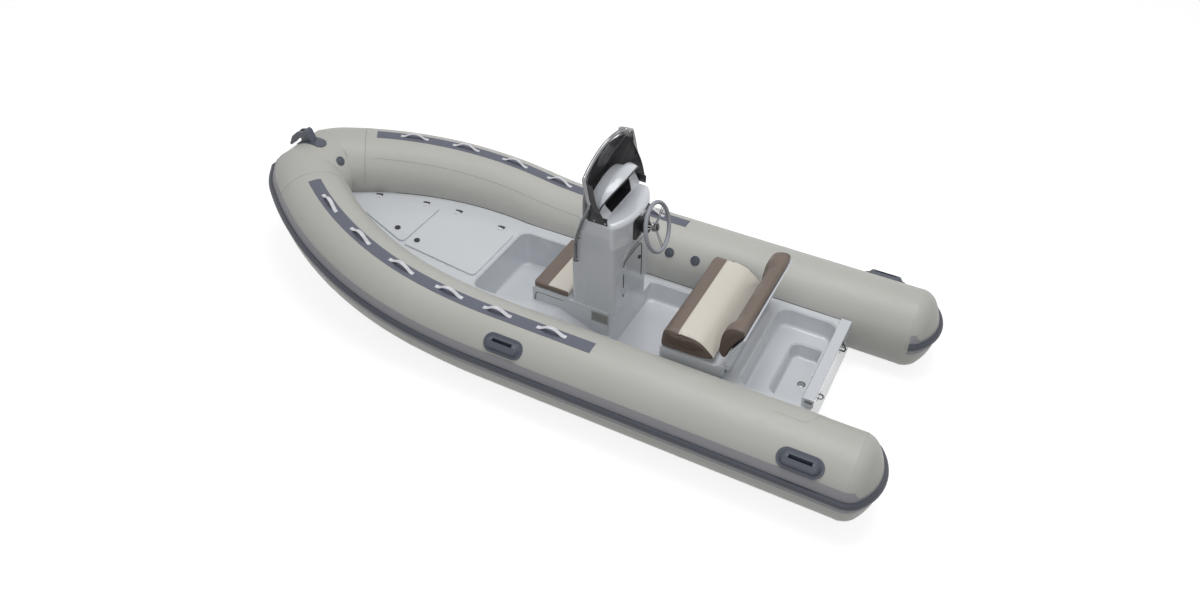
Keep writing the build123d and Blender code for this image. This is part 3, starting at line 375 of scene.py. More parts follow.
def rod(path, radius, steps=12, closed=False):
    """A tube along a path: a circle square to it at every point, carried along without twist."""
    path = np.asarray(path, float)
    ahead = np.roll(path, -1, 0) - np.roll(path, 1, 0) if closed else np.gradient(path, axis=0)
    ahead = unit(ahead)
    sides = [square_to(ahead[0])[0]]
    for direction in ahead[1:]:
        sides.append(unit(sides[-1] - direction * np.dot(sides[-1], direction)))
    sides = np.array(sides)
    others = np.cross(ahead, sides)
    turn = np.linspace(0, 2 * np.pi, steps, endpoint=False)
    grid = path[:, None] + radius * (np.cos(turn)[:, None] * sides[:, None]
                                     + np.sin(turn)[:, None] * others[:, None])
    if closed:
        return grid.reshape(-1, 3), grid_faces(len(path), steps, ring_rows=True)
    return capped(grid)


# Painted shade: a dark grey for the line along each lap.
lap_shade_line = grained("lap_shade_line", linear(132, 132, 126), 0.08, grain=(500.0, 0.0001), rough=(0.6, 0.06))
LAP_FROM, LAP_TO, LAP_DEGREES, LAP_ACROSS_AT, LAP_R = 20.0, 1740.0, 135.0, 1807.0, 1.3
long_lap = rod(on_tube(np.linspace(LAP_FROM, LAP_TO, 90), LAP_DEGREES, -LAP_R * 0.3), LAP_R, 8)
cross_lap = rod(on_tube(LAP_ACROSS_AT, np.linspace(20, 178, 60), -0.2), LAP_R, 8)
laps = [long_lap, cross_lap]
piece("lap_shade_lines", joined(laps + [mirrored(lap) for lap in laps]), lap_shade_line)

# ---------------------------------------------------------------- tube flaps at the transom
# Where a tube leaves the hull a flap of its fabric runs aft over the joint and ends in a point.
# It is glued down all round, so its edges run into the skin.


def rim_of(rows, columns):
    """The numbers of a grid's outermost points, in order round it."""
    order = np.arange(rows * columns).reshape(rows, columns)
    return np.concatenate([order[0, :-1], order[:-1, -1], order[-1, :0:-1], order[:0:-1, 0]])


PATCH_SUNK = -0.5


def patch(distance, degrees, thick):
    """A sheet glued on the tube: its face stands proud by thick, and its edges run down to the skin."""
    distance, degrees = np.broadcast_arrays(distance, degrees)
    rows, columns = distance.shape
    face = on_tube(distance, degrees, thick)
    rim = rim_of(rows, columns)
    low = on_tube(distance, degrees, PATCH_SUNK).reshape(-1, 3)[rim]
    foot = rows * columns + np.arange(len(rim))
    walls = np.stack([rim, np.roll(rim, -1), np.roll(foot, -1), foot], 1).tolist()
    return np.concatenate([face.reshape(-1, 3), low]), grid_faces(rows, columns, ring_columns=False) + walls


FLAP_ROOT_X, FLAP_THICK = 150.0, 1.3
FLAP_END = ((93, -24), (95, -34), (107, -63), (167, -132), (169, -126), (186, 40))
flap_degrees = np.linspace(FLAP_END[0][0], FLAP_END[-1][0], 48)
flap_end = np.interp(flap_degrees, *np.array(FLAP_END).T) - RISE_X
share = np.linspace(0, 1, 40)[:, None]
flap = flipped(patch(flap_end * share + (FLAP_ROOT_X - RISE_X) * (1 - share), flap_degrees, FLAP_THICK))
piece("transom_flaps", joined([flap, mirrored(flap)]), fabric)

# ---------------------------------------------------------------- strake, patches and handles
# Moulded rubber glued to the collar: a dark strake with a paler band along it, carrying handles, a fairlead
# on the nose, and step patches whose face has raised lozenges 6 mm across.
strake_rubber = grained("strake_rubber", linear(62, 66, 76), 0.12, grain=(700.0, 0.0002), rough=(0.46, 0.08),
                        Coat_Weight=0.12, Coat_Roughness=0.3)
dress(strake_rubber, "rub_strake")
band_rubber = grained("band_rubber", linear(154, 154, 159), 0.06, grain=(700.0, 0.0002), rough=(0.52, 0.06))
dress(band_rubber, "rub_band")
handle_rubber = grained("handle_rubber", linear(78, 83, 95), 0.1, grain=(600.0, 0.0002), rough=(0.4, 0.08),
                        Coat_Weight=0.15, Coat_Roughness=0.25)
dress(handle_rubber, "carry_handle_port_fwd", "carry_handle_port_aft", "carry_handle_starboard_fwd",
      "carry_handle_starboard_aft", "bow_fairlead")

grip_rubber = Finish("grip_rubber", linear(112, 116, 130), 0.7)
ridges, other_ridges = (grip_rubber.ease(grip_rubber.waves(52.0, "X", grip_rubber.place(turn=(0, 0, turn))),
                                         0.25, 0.75) for turn in (math.radians(45), math.radians(-45)))
lozenge = ridges * other_ridges
worn = grip_rubber.noise(9.0, 5.0, 0.6)
# Painted shade: the grooves between the lozenges are coloured darker than the raised faces.
shaded_groove_colour = grip_rubber.mix(worn, linear(96, 100, 113), linear(106, 110, 123))
raised_colour = grip_rubber.mix(worn, linear(112, 116, 130), linear(124, 128, 141))
grip_rubber.feed("Base Color", grip_rubber.mix(lozenge, shaded_groove_colour, raised_colour))
grip_rubber.feed("Roughness", grip_rubber.ease(worn, 0.3, 0.7, 0.62, 0.78))
grip_rubber.bump(lozenge + grip_rubber.noise(800.0) * 0.15, 0.0007)
dress(grip_rubber, "grip_patch_port", "grip_patch_starboard")

# ---------------------------------------------------------------- hull, decks and bow lids
# Gelcoat over laid-up glass, from open moulds: glossy and faintly uneven. What faces up carries a fine
# moulded grain against slipping, and is scuffed.
gelcoat = Finish("gelcoat", linear(208, 212, 216), 0.3, Coat_Weight=0.55, Coat_Roughness=0.12)
facing = gelcoat.node("ShaderNodeNewGeometry", {}, {}, "Normal")
flat_floor = gelcoat.ease(gelcoat.node("ShaderNodeSeparateXYZ", {}, {0: facing}, "Z"), 0.985, 0.997)
clouds, scuffs = gelcoat.noise(2.2, 4.0), gelcoat.noise(60.0, 6.0, 0.7)
clean = gelcoat.mix(clouds, linear(205, 209, 214), linear(213, 216, 220))
scuffed = flat_floor * gelcoat.ease(scuffs, 0.5, 0.8) * 0.3
gelcoat.feed("Base Color", gelcoat.mix(scuffed, clean, linear(196, 199, 202)))
gelcoat.feed("Roughness", flat_floor * 0.2 + gelcoat.ease(clouds, 0.3, 0.7, 0.24, 0.3))
gelcoat.bump(gelcoat.cells(420.0) * flat_floor + gelcoat.noise(3.0, 1.0) * 0.4, 0.0003)
dress(gelcoat, "hull", "deck_aft", "deck_cockpit", "deck_foot_well", "deck_bow", "bow_lid_aft", "bow_lid_fwd")

# ---------------------------------------------------------------- console, boxes and lids
# Smooth mouldings of the same gelcoat with a deeper gloss and no grain: the console with its cowl and door,
# both seat boxes with their lids, the backrest's shell and the transom's cap.
moulding = grained("gelcoat_smooth", linear(206, 210, 216), 0.02, grain=(4.0, 0.0004), rough=(0.25, 0.04),
                   cloud=2.0, Coat_Weight=0.7, Coat_Roughness=0.08)
dress(moulding, "transom_cap", "console_pedestal", "console_cowl", "console_door", "console_door_hinges",
      "seat_box", "front_seat_lid", "helm_seat_box", "helm_seat_lid", "backrest_panel")

# ---------------------------------------------------------------- latches, hinges and eyes
# Black plastic: the latches, the dash tray, the wheel's shaft and the screen's base plates. Stainless steel:
# the seats' hinges and the eyes, polished, with long faint scratches and grime that dulls it in patches.
black_plastic = grained("black_plastic", linear(30, 30, 34), 0.2, grain=(900.0, 0.0003), rough=(0.4, 0.08),
                        cloud=20.0)
dress(black_plastic, "bow_latch_aft", "bow_latch_fwd", "door_latch", "dash_tray", "screen_base_plates",
      "helm_shaft")

# Its colour is kept dark grey: a painted reflection of dark surroundings. Grime varies it in patches.
stainless = Finish("stainless", linear(134, 135, 137), 0.16, Metallic=1.0)
scratches = stainless.noise(260.0, 5.0, 0.7, stainless.place((1.0, 1.0, 0.06)))
grime = stainless.noise(18.0, 4.0)
stainless.feed("Base Color", stainless.mix(grime, linear(116, 117, 119), linear(150, 151, 153)))
stainless.feed("Roughness", stainless.ease(grime, 0.35, 0.75, 0.12, 0.26) + scratches * 0.05)
stainless.bump(scratches, 0.00006, 0.5)
dress(stainless, "helm_seat_hinges", "front_seat_hinge", "stern_eyes", "bow_eye")

# ---------------------------------------------------------------- shadow bead
# A dark bead run into the angle between the deck and the tubes: painted shadow in that angle. The same dark
# finish dresses the bow lids' hinges.
dark_rubber_and_shadow = grained("dark_rubber_and_painted_shadow", linear(58, 58, 60), 0.1, grain=(500.0, 0.0002), rough=(0.6, 0.08))
# The hinges are steel: this dark finish on them is a painted dark reflection.
dress(dark_rubber_and_shadow, "bow_lid_hinges")

BEAD_R = 3.0
DECK_LEVELS = ((60, 333), (534, 333), (536, 193), (1450, 193), (1700, 292), (2338, 292), (3450, 381))
splash_deck = np.linspace(-1850, -1384, 12)
cockpit_to_bow = np.concatenate([np.linspace(-1376, 0, 60), np.linspace(10, 1560, 90)])
round_inside = np.linspace(150, 215, 651)
beads = []
for run in (splash_deck, cockpit_to_bow):
    skin = on_tube(run[:, None], round_inside)
    miss = abs(skin[..., 2] - np.interp(skin[..., 0], *np.array(DECK_LEVELS).T))
    beads.append(rod(skin[np.arange(len(run)), miss.argmin(1)], BEAD_R, 8))
piece("deck_shadow_bead", joined(beads + [mirrored(bead) for bead in beads]), dark_rubber_and_shadow)

# ---------------------------------------------------------------- grab straps
# White webbing, 25 mm wide, with slanting ribs. It is sewn down to the step patches at both ends of each
# loop, and stands up in an arch between.


def seat_on_tube(distance, degrees):
    """A place on the tube's skin: the point, and the unit directions ahead, round and out."""
    at = on_tube(distance, degrees)
    out = unit(on_tube(distance, degrees, 1.0) - at)
    ahead = unit(on_tube(distance + 1.0, degrees) - on_tube(distance - 1.0, degrees))
    return at, ahead, np.cross(out, ahead), out


def laid(points, place):
    """Points drawn as (ahead, round, out) put down at a place on the tube."""
    at, ahead, around, out = place
    points = np.asarray(points, float)
    return at + points[..., :1] * ahead + points[..., 1:2] * around + points[..., 2:] * out


def rounded(points, steps=8, closed=False):
    """A smooth line through points, by Catmull and Rom's cubic."""
    points = np.asarray(points, float)
    if closed:
        first, last = points[-1:], points[:2]
    else:
        first, last = 2 * points[:1] - points[1:2], 2 * points[-1:] - points[-2:-1]
    held = np.concatenate([first, points, last])
    before, start, end, after = held[:-3, None], held[1:-2, None], held[2:-1, None], held[3:, None]
    t = np.linspace(0, 1, steps, endpoint=False)[None, :, None]
    line = start + t * ((end - before) + t * (2 * before - 5 * start + 4 * end - after
                                              + t * (3 * start - before - 3 * end + after))) / 2
    line = line.reshape(-1, points.shape[1])
    return line if closed else np.concatenate([line, points[-1:]])


def bar(path, side, up, wide, thick, steps=16):
    """A flat bar along a path, wide along side and thick along up.

    Its section is a rounded oblong: the 0.3 powers of a turn's cosine and sine, with their signs kept.
    """
    path = np.asarray(path, float)
    side, up = (np.broadcast_to(unit(v), path.shape)[:, None] for v in (side, up))
    turn = np.linspace(0, 2 * np.pi, steps, endpoint=False)
    c, s = np.cos(turn), np.sin(turn)
    wide, thick = (np.broadcast_to(v, len(path))[:, None, None] for v in (wide, thick))
    across_it = (np.sign(c) * abs(c) ** 0.3)[None, :, None] * wide / 2
    through_it = (np.sign(s) * abs(s) ** 0.3)[None, :, None] * thick / 2
    return capped(path[:, None] + across_it * side + through_it * up)


webbing = Finish("webbing", linear(226, 226, 232), 0.75)
soil = webbing.noise(30.0, 5.0)
webbing.feed("Base Color", webbing.mix(webbing.ease(soil, 0.35, 0.8), linear(230, 230, 236),
                                       linear(208, 208, 214)))
webbing.feed("Roughness", webbing.ease(soil, 0.3, 0.7, 0.7, 0.85))
webbing.bump(webbing.waves(150.0, "DIAGONAL") * 0.6 + webbing.noise(1500.0) * 0.4, 0.0004)
thread = grained("thread", linear(206, 206, 212), 0.08, grain=(1500.0, 0.0002), rough=(0.7, 0.08))

STRAP_FIRST, STRAP_PITCH, STRAP_COUNT, STRAP_DEG = -406.0, 374.0, 6, 87.0
STRAP_WIDE, STRAP_THICK, PATCH_THICK = 25.0, 2.4, 2.5
STITCH_SIDE, STITCH_R, STITCH_LIFT = 9.5, 0.45, 1.15
TACKS_AT, TACK_R, TACK_LIFT = (-72.0, -94.0, 72.0, 94.0), 0.5, 1.3
half_arch = [(-99, 1.4), (-88, 1.5), (-76, 2.6), (-62, 9), (-40, 24), (-18, 34), (0, 36.5)]
arch = rounded(half_arch + [(-along, high) for along, high in half_arch[-2::-1]], 4)
slope = unit(np.gradient(arch, axis=0))
straps, stitches = [], []
for number in range(STRAP_COUNT):
    place = seat_on_tube(STRAP_FIRST + STRAP_PITCH * number, STRAP_DEG)
    _, ahead, around, out = place
    line = laid(np.stack([arch[:, 0], 0 * arch[:, 0], arch[:, 1] + PATCH_THICK], 1), place)
    lift = -slope[:, 1:] * ahead + slope[:, :1] * out
    straps.append(bar(line, around, lift, STRAP_WIDE, STRAP_THICK))
    for side in (-STITCH_SIDE, STITCH_SIDE):
        stitches.append(rod(line + side * around + STITCH_LIFT * unit(lift), STITCH_R, 5))
    for tack in TACKS_AT:
        high = np.interp(tack, arch[:, 0], arch[:, 1]) + PATCH_THICK + TACK_LIFT
        run = np.array([(tack, side, high) for side in np.linspace(-STITCH_SIDE, STITCH_SIDE, 9)])
        stitches.append(rod(laid(run, place), TACK_R, 5))
for side, placed in (("port", joined), ("starboard", lambda parts: mirrored(joined(parts)))):
    loops = piece(f"straps_{side}", placed(straps), webbing)
    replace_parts(loops, f"grab_straps_{side}")
    piece(f"strap_stitches_{side}", placed(stitches), thread)

# ---------------------------------------------------------------- inflation valves
# A moulded ring in the tube, and in it a push-in cap that turns by three low ribs. Two sit in the starboard
# tube's inner side, and one in the nose.


def lathe(profile, at, axis, steps=32):
    """A profile of (radius, height) pairs turned round an axis through a point."""
    side, other = square_to(axis)
    profile = np.asarray(profile, float)
    turn = np.linspace(0, 2 * np.pi, steps, endpoint=False)
    spokes = np.cos(turn)[:, None] * side + np.sin(turn)[:, None] * other
    grid = np.asarray(at) + profile[:, :1, None] * spokes + profile[:, 1:, None] * unit(axis)
    return capped(grid)


VALVE_RING = [(33, 0), (33, 2.2), (31.5, 4.4), (28, 5.4), (25.5, 5), (24.5, 3.2), (24, 3.1)]
VALVE_CAP = [(23.4, 2.6), (23.2, 4.6), (22, 5.8), (12, 6.2), (10, 6.8), (0.5, 7.1)]
RIB_HEIGHT, RIB_WIDE, RIB_THICK, RIB_FROM, RIB_TO = 6.6, 4.5, 3.0, 5.0, 21.0


def spoke_ways(first, second):
    """Three directions a third of a turn apart in the plane of two others, beginning with the second."""
    return [math.cos(turn) * first + math.sin(turn) * second
            for turn in (math.radians(degrees) for degrees in (90, 210, 330))]


def valve(at, out, ahead):
    """Ring, cap and the cap's ribs."""
    parts = [lathe(VALVE_RING, at, out, 40), lathe(VALVE_CAP, at, out, 40)]
    for way in spoke_ways(ahead, np.cross(out, ahead)):
        rib = at + out * RIB_HEIGHT + np.linspace(RIB_FROM, RIB_TO, 5)[:, None] * way
        parts.append(bar(rib, np.cross(out, way), out, RIB_WIDE, RIB_THICK, 10))
    return joined(parts)


VALVES_X, VALVE_DEGREES = (1267.0, 1081.0), 145.0
NOSE_MIDDLE, NOSE_OUT = np.array([3800.57, 0.0, 515.03]), unit((-0.8, 0.0, 0.6))
valves = []
for x in VALVES_X:
    at, ahead, _, out = seat_on_tube(x - RISE_X, VALVE_DEGREES)
    valves.append(mirrored(valve(at, out, ahead)))
valves.append(valve(NOSE_MIDDLE + NOSE_OUT * TUBE_R, NOSE_OUT, np.array([0.0, 1.0, 0.0])))
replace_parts(piece("valves", joined(valves), handle_rubber), "inflation_valves")

# ---------------------------------------------------------------- steering wheel
# A foam-gripped rim with finger waves round its back, carried by three polished spokes of two bars each,
# on a polished hub with a black cap and a ring of six screws.
WHEEL_AT, WHEEL_TILT = np.array([1169.0, 0.0, 946.0]), math.radians(16.8)
wheel_out = np.array([-math.cos(WHEEL_TILT), 0.0, math.sin(WHEEL_TILT)])
wheel_down = np.array([-math.sin(WHEEL_TILT), 0.0, -math.cos(WHEEL_TILT)])
wheel_port = np.array([0.0, 1.0, 0.0])


def on_wheel(points):
    """Points drawn as (to port, down, towards the helm) put on the wheel."""
    points = np.asarray(points, float)
    return WHEEL_AT + points @ np.array([wheel_port, wheel_down, wheel_out])


def screw(at, axis, radius):
    """A pan-headed screw with a socket, standing on a washer."""
    profile = [(1.25, 0), (1.25, 0.12), (1.0, 0.16), (0.98, 0.45), (0.8, 0.62), (0.5, 0.7), (0.42, 0.68),
               (0.4, 0.3)]
    return lathe(np.array(profile) * radius, at, axis, 24)


wheel_grip = grained("wheel_grip", linear(150, 153, 161), 0.05, grain=(1100.0, 0.0003), rough=(0.5, 0.06),
                     cloud=14.0)
RIM_R, RIM_THICK, RIM_STEPS, RIM_SIDES = 148.0, 12.9, 144, 20
WAVES, WAVE_DEEP = 36, 0.45
round_rim = np.linspace(0, 2 * np.pi, RIM_STEPS, endpoint=False)[:, None]
turn = np.linspace(0, 2 * np.pi, RIM_SIDES, endpoint=False)
thick = RIM_THICK + WAVE_DEEP * np.cos(WAVES * round_rim) * np.clip(-np.sin(turn), 0, 1)
radial = RIM_R + thick * np.cos(turn)
rim = on_wheel(np.stack([radial * np.cos(round_rim), radial * np.sin(round_rim), thick * np.sin(turn)], -1))
rim = (rim.reshape(-1, 3), grid_faces(RIM_STEPS, RIM_SIDES, ring_rows=True))
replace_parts(piece("wheel_rim", rim, wheel_grip, "steering_wheel"), "steering_wheel")

SPOKE_THICK = 3.2
reach = np.linspace(20, 141, 16)
spoke_height = np.interp(reach, [20, 60, 141], [-15, -10, -2])
spoke_wide = np.interp(reach, [20, 60, 141], [12.0, 7.0, 8.0])
spread = np.interp(reach, [20, 50, 141], [8.0, 6.0, 10.5])
spokes = []
for way in spoke_ways(wheel_port, wheel_down):
    aside = np.cross(wheel_out, way)
    for lean in (-1, 1):
        places = np.stack([reach, lean * spread, spoke_height], 1)
        line = WHEEL_AT + places @ np.array([way, aside, wheel_out])
        spokes.append(bar(line, aside, wheel_out, spoke_wide, SPOKE_THICK))
piece("wheel_spokes", joined(spokes), stainless, "steering_wheel")
HUB = [(29.5, -28.6), (29.5, -25), (27.5, -22), (25, -18), (25, -8), (27, -6), (27.5, -3), (25, -1.2),
       (21, -1)]
HUB_CAP = [(20.5, -2), (20.4, 1.4), (18.5, 3.4), (14, 4.4), (6, 4.9), (0.6, 5)]
piece("wheel_hub", lathe(HUB, WHEEL_AT, wheel_out, 64), stainless, "steering_wheel")
piece("wheel_cap", lathe(HUB_CAP, WHEEL_AT, wheel_out, 64), black_plastic, "steering_wheel")
SCREWS_R, SCREWS_HEIGHT, SCREW_R = 23.6, -1.3, 1.7
hub_screws = []
for t in np.linspace(0, 2 * math.pi, 6, endpoint=False):
    at = on_wheel([math.cos(t) * SCREWS_R, math.sin(t) * SCREWS_R, SCREWS_HEIGHT])
    hub_screws.append(screw(at, wheel_out, SCREW_R))
piece("wheel_screws", joined(hub_screws), stainless, "steering_wheel")

# ---------------------------------------------------------------- windscreen
# One sheet of smoked acrylic, 5 mm thick, heated and bent round the top of the console. It is dark, seen
# through a little, with a clean gloss.


def both_sides(half):
    """A line from the port side to the middle, carried on to starboard."""
    half = np.asarray(half, float)
    return np.concatenate([half, (half * (1, -1, 1))[-2::-1]])


def shell(outer, outward, thick):
    """A closed sheet of even thickness: a grid of points, and the same grid moved in along its normals.

    outward shows which way its face looks; the rims of the two grids are joined by a narrow wall.
    """
    normal = unit(np.cross(np.gradient(outer, axis=1), np.gradient(outer, axis=0)))
    facing = np.sign((normal * outward).sum(-1).mean())
    inner = outer - thick * facing * normal
    rows, columns = outer.shape[:2]
    rim = rim_of(rows, columns)
    skin = np.array(grid_faces(rows, columns, ring_columns=False))
    walls = np.stack([rim, np.roll(rim, -1), np.roll(rim, -1) + rows * columns, rim + rows * columns], 1)
    faces = np.concatenate([skin, skin[:, ::-1] + rows * columns, walls[:, ::-1]])
    return np.concatenate([outer.reshape(-1, 3), inner.reshape(-1, 3)]), faces[:, ::int(facing)].tolist()


smoked = Finish("smoked_acrylic", linear(58, 57, 60), 0.12, Specular_IOR_Level=0.3)
film = smoked.noise(6.0, 5.0)
smoked.feed("Base Color", smoked.mix(film, linear(66, 65, 68), linear(80, 78, 82)))
smoked.feed("Roughness", smoked.ease(film, 0.3, 0.7, 0.1, 0.2))
grazing = smoked.node("ShaderNodeLayerWeight", {}, {"Blend": 0.35}, "Facing")
smoked.feed("Alpha", smoked.ease(grazing, 0.0, 0.9, 0.88, 0.97))

SCREEN_THICK, SCREEN_BULGE = 5.0, 26.0
SCREEN_MIDDLE = (1400.0, 0.0, 1045.0)
foot = rounded(both_sides([(x, y, SCREEN_MIDDLE[2]) for x, y in (
    (1372, 255), (1440, 256), (1505, 254), (1546, 234), (1568, 190), (1579, 128), (1584, 64), (1586, 0))]), 8)
edge = rounded(both_sides([(1468, 264, 1288), (1493, 293, 1329), (1498, 262, 1363), (1495, 198, 1404),
                           (1482, 119, 1453), (1460, 60, 1482), (1428, 22, 1503), (1402, 0, 1506)]), 8)
ahead = np.gradient(foot, axis=0)
outward = unit(np.stack([-ahead[:, 1], ahead[:, 0], 0 * ahead[:, 0]], 1))
outward *= np.sign((outward * (foot - SCREEN_MIDDLE)).sum(1))[:, None]
share = np.linspace(0, 1, 30)[:, None, None]
outer = foot * (1 - share) + edge * share + outward * SCREEN_BULGE * np.sin(np.pi * share)
sheet = piece("screen_sheet", shell(outer, outward, SCREEN_THICK), smoked, crease=50)
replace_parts(sheet, "windscreen")

# ---------------------------------------------------------------- windscreen's rail
# A polished tube bent round the sheet's edge. It comes down both sides of the console, and is held to each
# by two flanged feet, one at its lower end and one higher up.
RAIL_R, RAIL_Y = 11.0, 274.0
RAIL_FEET = ((1577, 729), (1566, 905))
rail_line = rounded(both_sides([(1577, 274, 729), (1574, 274, 820), (1566, 276, 905), (1514, 292, 1060),
                                (1468, 304, 1180), (1474, 309, 1225), (1499, 306, 1338), (1503, 285, 1362),
                                (1500, 205, 1411), (1486, 122, 1462), (1466, 60, 1494), (1432, 18, 1526),
                                (1394, 0, 1541)]), 8)
rail_parts = [rod(rail_line, RAIL_R, 20)]
OUTSIDE = 400.0
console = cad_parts["console_pedestal"]
for side in (1, -1):
    for x, z in RAIL_FEET:
        _, wall, _, _ = console.ray_cast(Vector((x, side * OUTSIDE, z)) * MM, Vector((0, -side, 0)))
        reach = abs(side * RAIL_Y - wall[1] / MM)
        foot_profile = [(19, -1), (19, 2.5), (16, 4), (11.5, 5.5), (9, 9), (8.5, reach), (4, reach + 1)]
        rail_parts.append(lathe(foot_profile, (x, wall[1] / MM, z), (0, side, 0)))
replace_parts(piece("rail_tube", joined(rail_parts), stainless), "screen_rail")

# ---------------------------------------------------------------- visor
# The cowl's crown runs on aft over the dash as a white moulded visor, 3 mm thick. It is lined in black, and
# its edge carries a black trim.
VISOR_X, VISOR_REACH, VISOR_TIP, VISOR_DROP = 1440.0, 66.0, 4.0, 20.0
VISOR_HALF, VISOR_FOOT, VISOR_RISE, VISOR_POINT = 241.0, 1113.0, 148.0, 1.4


def visor_arch(share, inside=0.0):
    """Half ellipses drawn in by inside; they lean aft and sink as share goes from 0, the crown, to 1."""
    t, share = np.meshgrid(np.linspace(0.0, np.pi, 61), share)
    out_by, up_by = VISOR_HALF - inside, VISOR_RISE - VISOR_DROP * share ** 2 - inside
    back_by = VISOR_REACH * share * np.sin(t) ** VISOR_POINT + VISOR_TIP * share
    return np.stack([VISOR_X - back_by, out_by * np.cos(t), VISOR_FOOT + up_by * np.sin(t)], -1)


from_crown = np.linspace(0, 1, 12)
away = visor_arch(from_crown) - (1400.0, 0.0, VISOR_FOOT)
VISOR_THICK, LINER_IN, LINER_THICK = 3.0, 3.2, 1.5
piece("visor", shell(visor_arch(from_crown), away, VISOR_THICK), moulding)
liner = shell(visor_arch(from_crown, LINER_IN), away, LINER_THICK)
piece("visor_liner", liner, black_plastic)
TRIM_SHARE, TRIM_IN, TRIM_R = 1.04, 0.6, 4.5
trim = rod(visor_arch([TRIM_SHARE], TRIM_IN)[0], TRIM_R, 12)
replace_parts(piece("visor_trim", trim, black_plastic), "cowl_lip")

# ---------------------------------------------------------------- instrument panel
# A black plastic panel with round corners and a raised border, bent to the console's face and set into it.
# It has no gauges of its own.


def rounded_box(half_wide, half_high, corner, inset=0.0, steps=8):
    """An oblong with round corners, as two rows of places; inset makes the corners' arcs smaller."""
    turn = np.concatenate([np.linspace(0, np.pi / 2, steps) + k * np.pi / 2 for k in range(4)])
    radius = max(corner - inset, 0.05)
    return (np.repeat([1, -1, -1, 1], steps) * (half_wide - corner) + radius * np.cos(turn),
            np.repeat([1, 1, -1, -1], steps) * (half_high - corner) + radius * np.sin(turn))


PANEL_HALF, PANEL_MIDDLE, PANEL_HALF_HIGH, PANEL_CORNER = 110.0, 950.0, 76.0, 24.0
FACE_X, FACE_Z, FACE_BULGE, FACE_HALF, FACE_LEAN = 1257.4, 880.0, 13.3, 112.0, 0.024


def on_panel(y, z, lift):
    """Points over the console's face: it bulges aft by a parabola and leans forward as it rises."""
    return np.stack([FACE_X + FACE_BULGE * (y / FACE_HALF) ** 2 + FACE_LEAN * (z - FACE_Z) - lift, y, z], -1)


y, z = rounded_box(PANEL_HALF, PANEL_HALF_HIGH, PANEL_CORNER)
rings = [(1.0, -10.0), (1.0, 0.6), (0.994, 1.4), (0.985, 1.8), (0.95, 1.8)]
rings += [(share, 1.2) for share in (0.94, 0.7, 0.45, 0.2, 0.01)]
panel = capped(np.array([on_panel(y * share, PANEL_MIDDLE + z * share, lift) for share, lift in rings]))
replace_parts(piece("instrument_panel", flipped(panel), black_plastic), "gauge_panel")

# ---------------------------------------------------------------- door's gasket
# Soft dark rubber round the locker's door in the console's aft face, proud of it, with round upper
# corners. It leaves the sill free.
GASKET_R, GASKET_X, GASKET_LEAN = 2.6, 1317.2, 0.02
gasket = [(127, 437), (127, 540), (127, 655), (124, 678), (114, 694), (98, 702), (80, 704), (0, 704)]
gasket = both_sides([(GASKET_X + GASKET_LEAN * (z - 500), y, z) for y, z in gasket])
piece("door_gasket", rod(rounded(gasket, 5), GASKET_R, 10), dark_rubber_and_shadow)

# ---------------------------------------------------------------- builder's plate
# A bare metal plate on the port side of the front seat's box, with an etched field, held by four rivets.
# The rivets are made here and go with the bolts.


def slab(at, right, out, wide, high, thick, corner, ease=0.8):
    """A plate with rounded corners and an eased face, standing on a surface that faces out."""
    right, out = unit(right), unit(out)
    tall = np.cross(out, right)
    rows = []
    for inset, height in ((0, 0), (0, thick - ease), (ease * 0.3, thick - ease * 0.3), (ease, thick)):
        u, v = rounded_box(wide / 2, high / 2, corner, inset, 7)
        rows.append(np.asarray(at) + u[:, None] * right + v[:, None] * tall + height * out)
    return capped(np.array(rows))


PLATE_AT, PLATE_THICK = np.array([1411.0, 260.2, 325.0]), 1.2
sternward, port = np.array([-1.0, 0.0, 0.0]), np.array([0.0, 1.0, 0.0])
plate_metal = grained("plate", linear(176, 177, 174), 0.06, grain=(900.0, 0.0001), rough=(0.36, 0.06),
                      cloud=25.0, Metallic=0.6)
etched = grained("plate_field", linear(150, 151, 149), 0.08, grain=(400.0, 0.0001), rough=(0.5, 0.08),
                 cloud=60.0, Metallic=0.5)
plate = slab(PLATE_AT, sternward, port, wide=122, high=80, thick=PLATE_THICK, corner=5, ease=0.4)
piece("builders_plate", plate, plate_metal)
field = slab(PLATE_AT + port * 1.15, sternward, port, wide=108, high=66, thick=0.5, corner=2, ease=0.2)
piece("plate_field", field, etched)
RIVET_X, RIVET_Z, RIVET_R = 57.0, 36.5, 1.9
rivets = [screw(PLATE_AT + (u * RIVET_X, PLATE_THICK, v * RIVET_Z), port, RIVET_R)
          for u in (-1, 1) for v in (-1, 1)]

# ---------------------------------------------------------------- seat box's hatch
# A groove along the forward and upper edges of the hatch in the box's port side, filled with dark sealant,
# and beyond it the moulding's own rolled lip.
HATCH_Y, GROOVE_R, LIP_R = 260.1, 2.3, 2.6
hatch = [(1885, 204), (1879, 270), (1872, 338), (1860, 357), (1838, 361), (1750, 361.5), (1668, 361.5)]
hatch = rounded([(x, HATCH_Y, z) for x, z in hatch], 6)
piece("hatch_groove", rod(hatch, GROOVE_R, 10), dark_rubber_and_shadow)
piece("hatch_lip", rod(hatch + (5.5, 0.0, 5.5), LIP_R, 12), moulding)

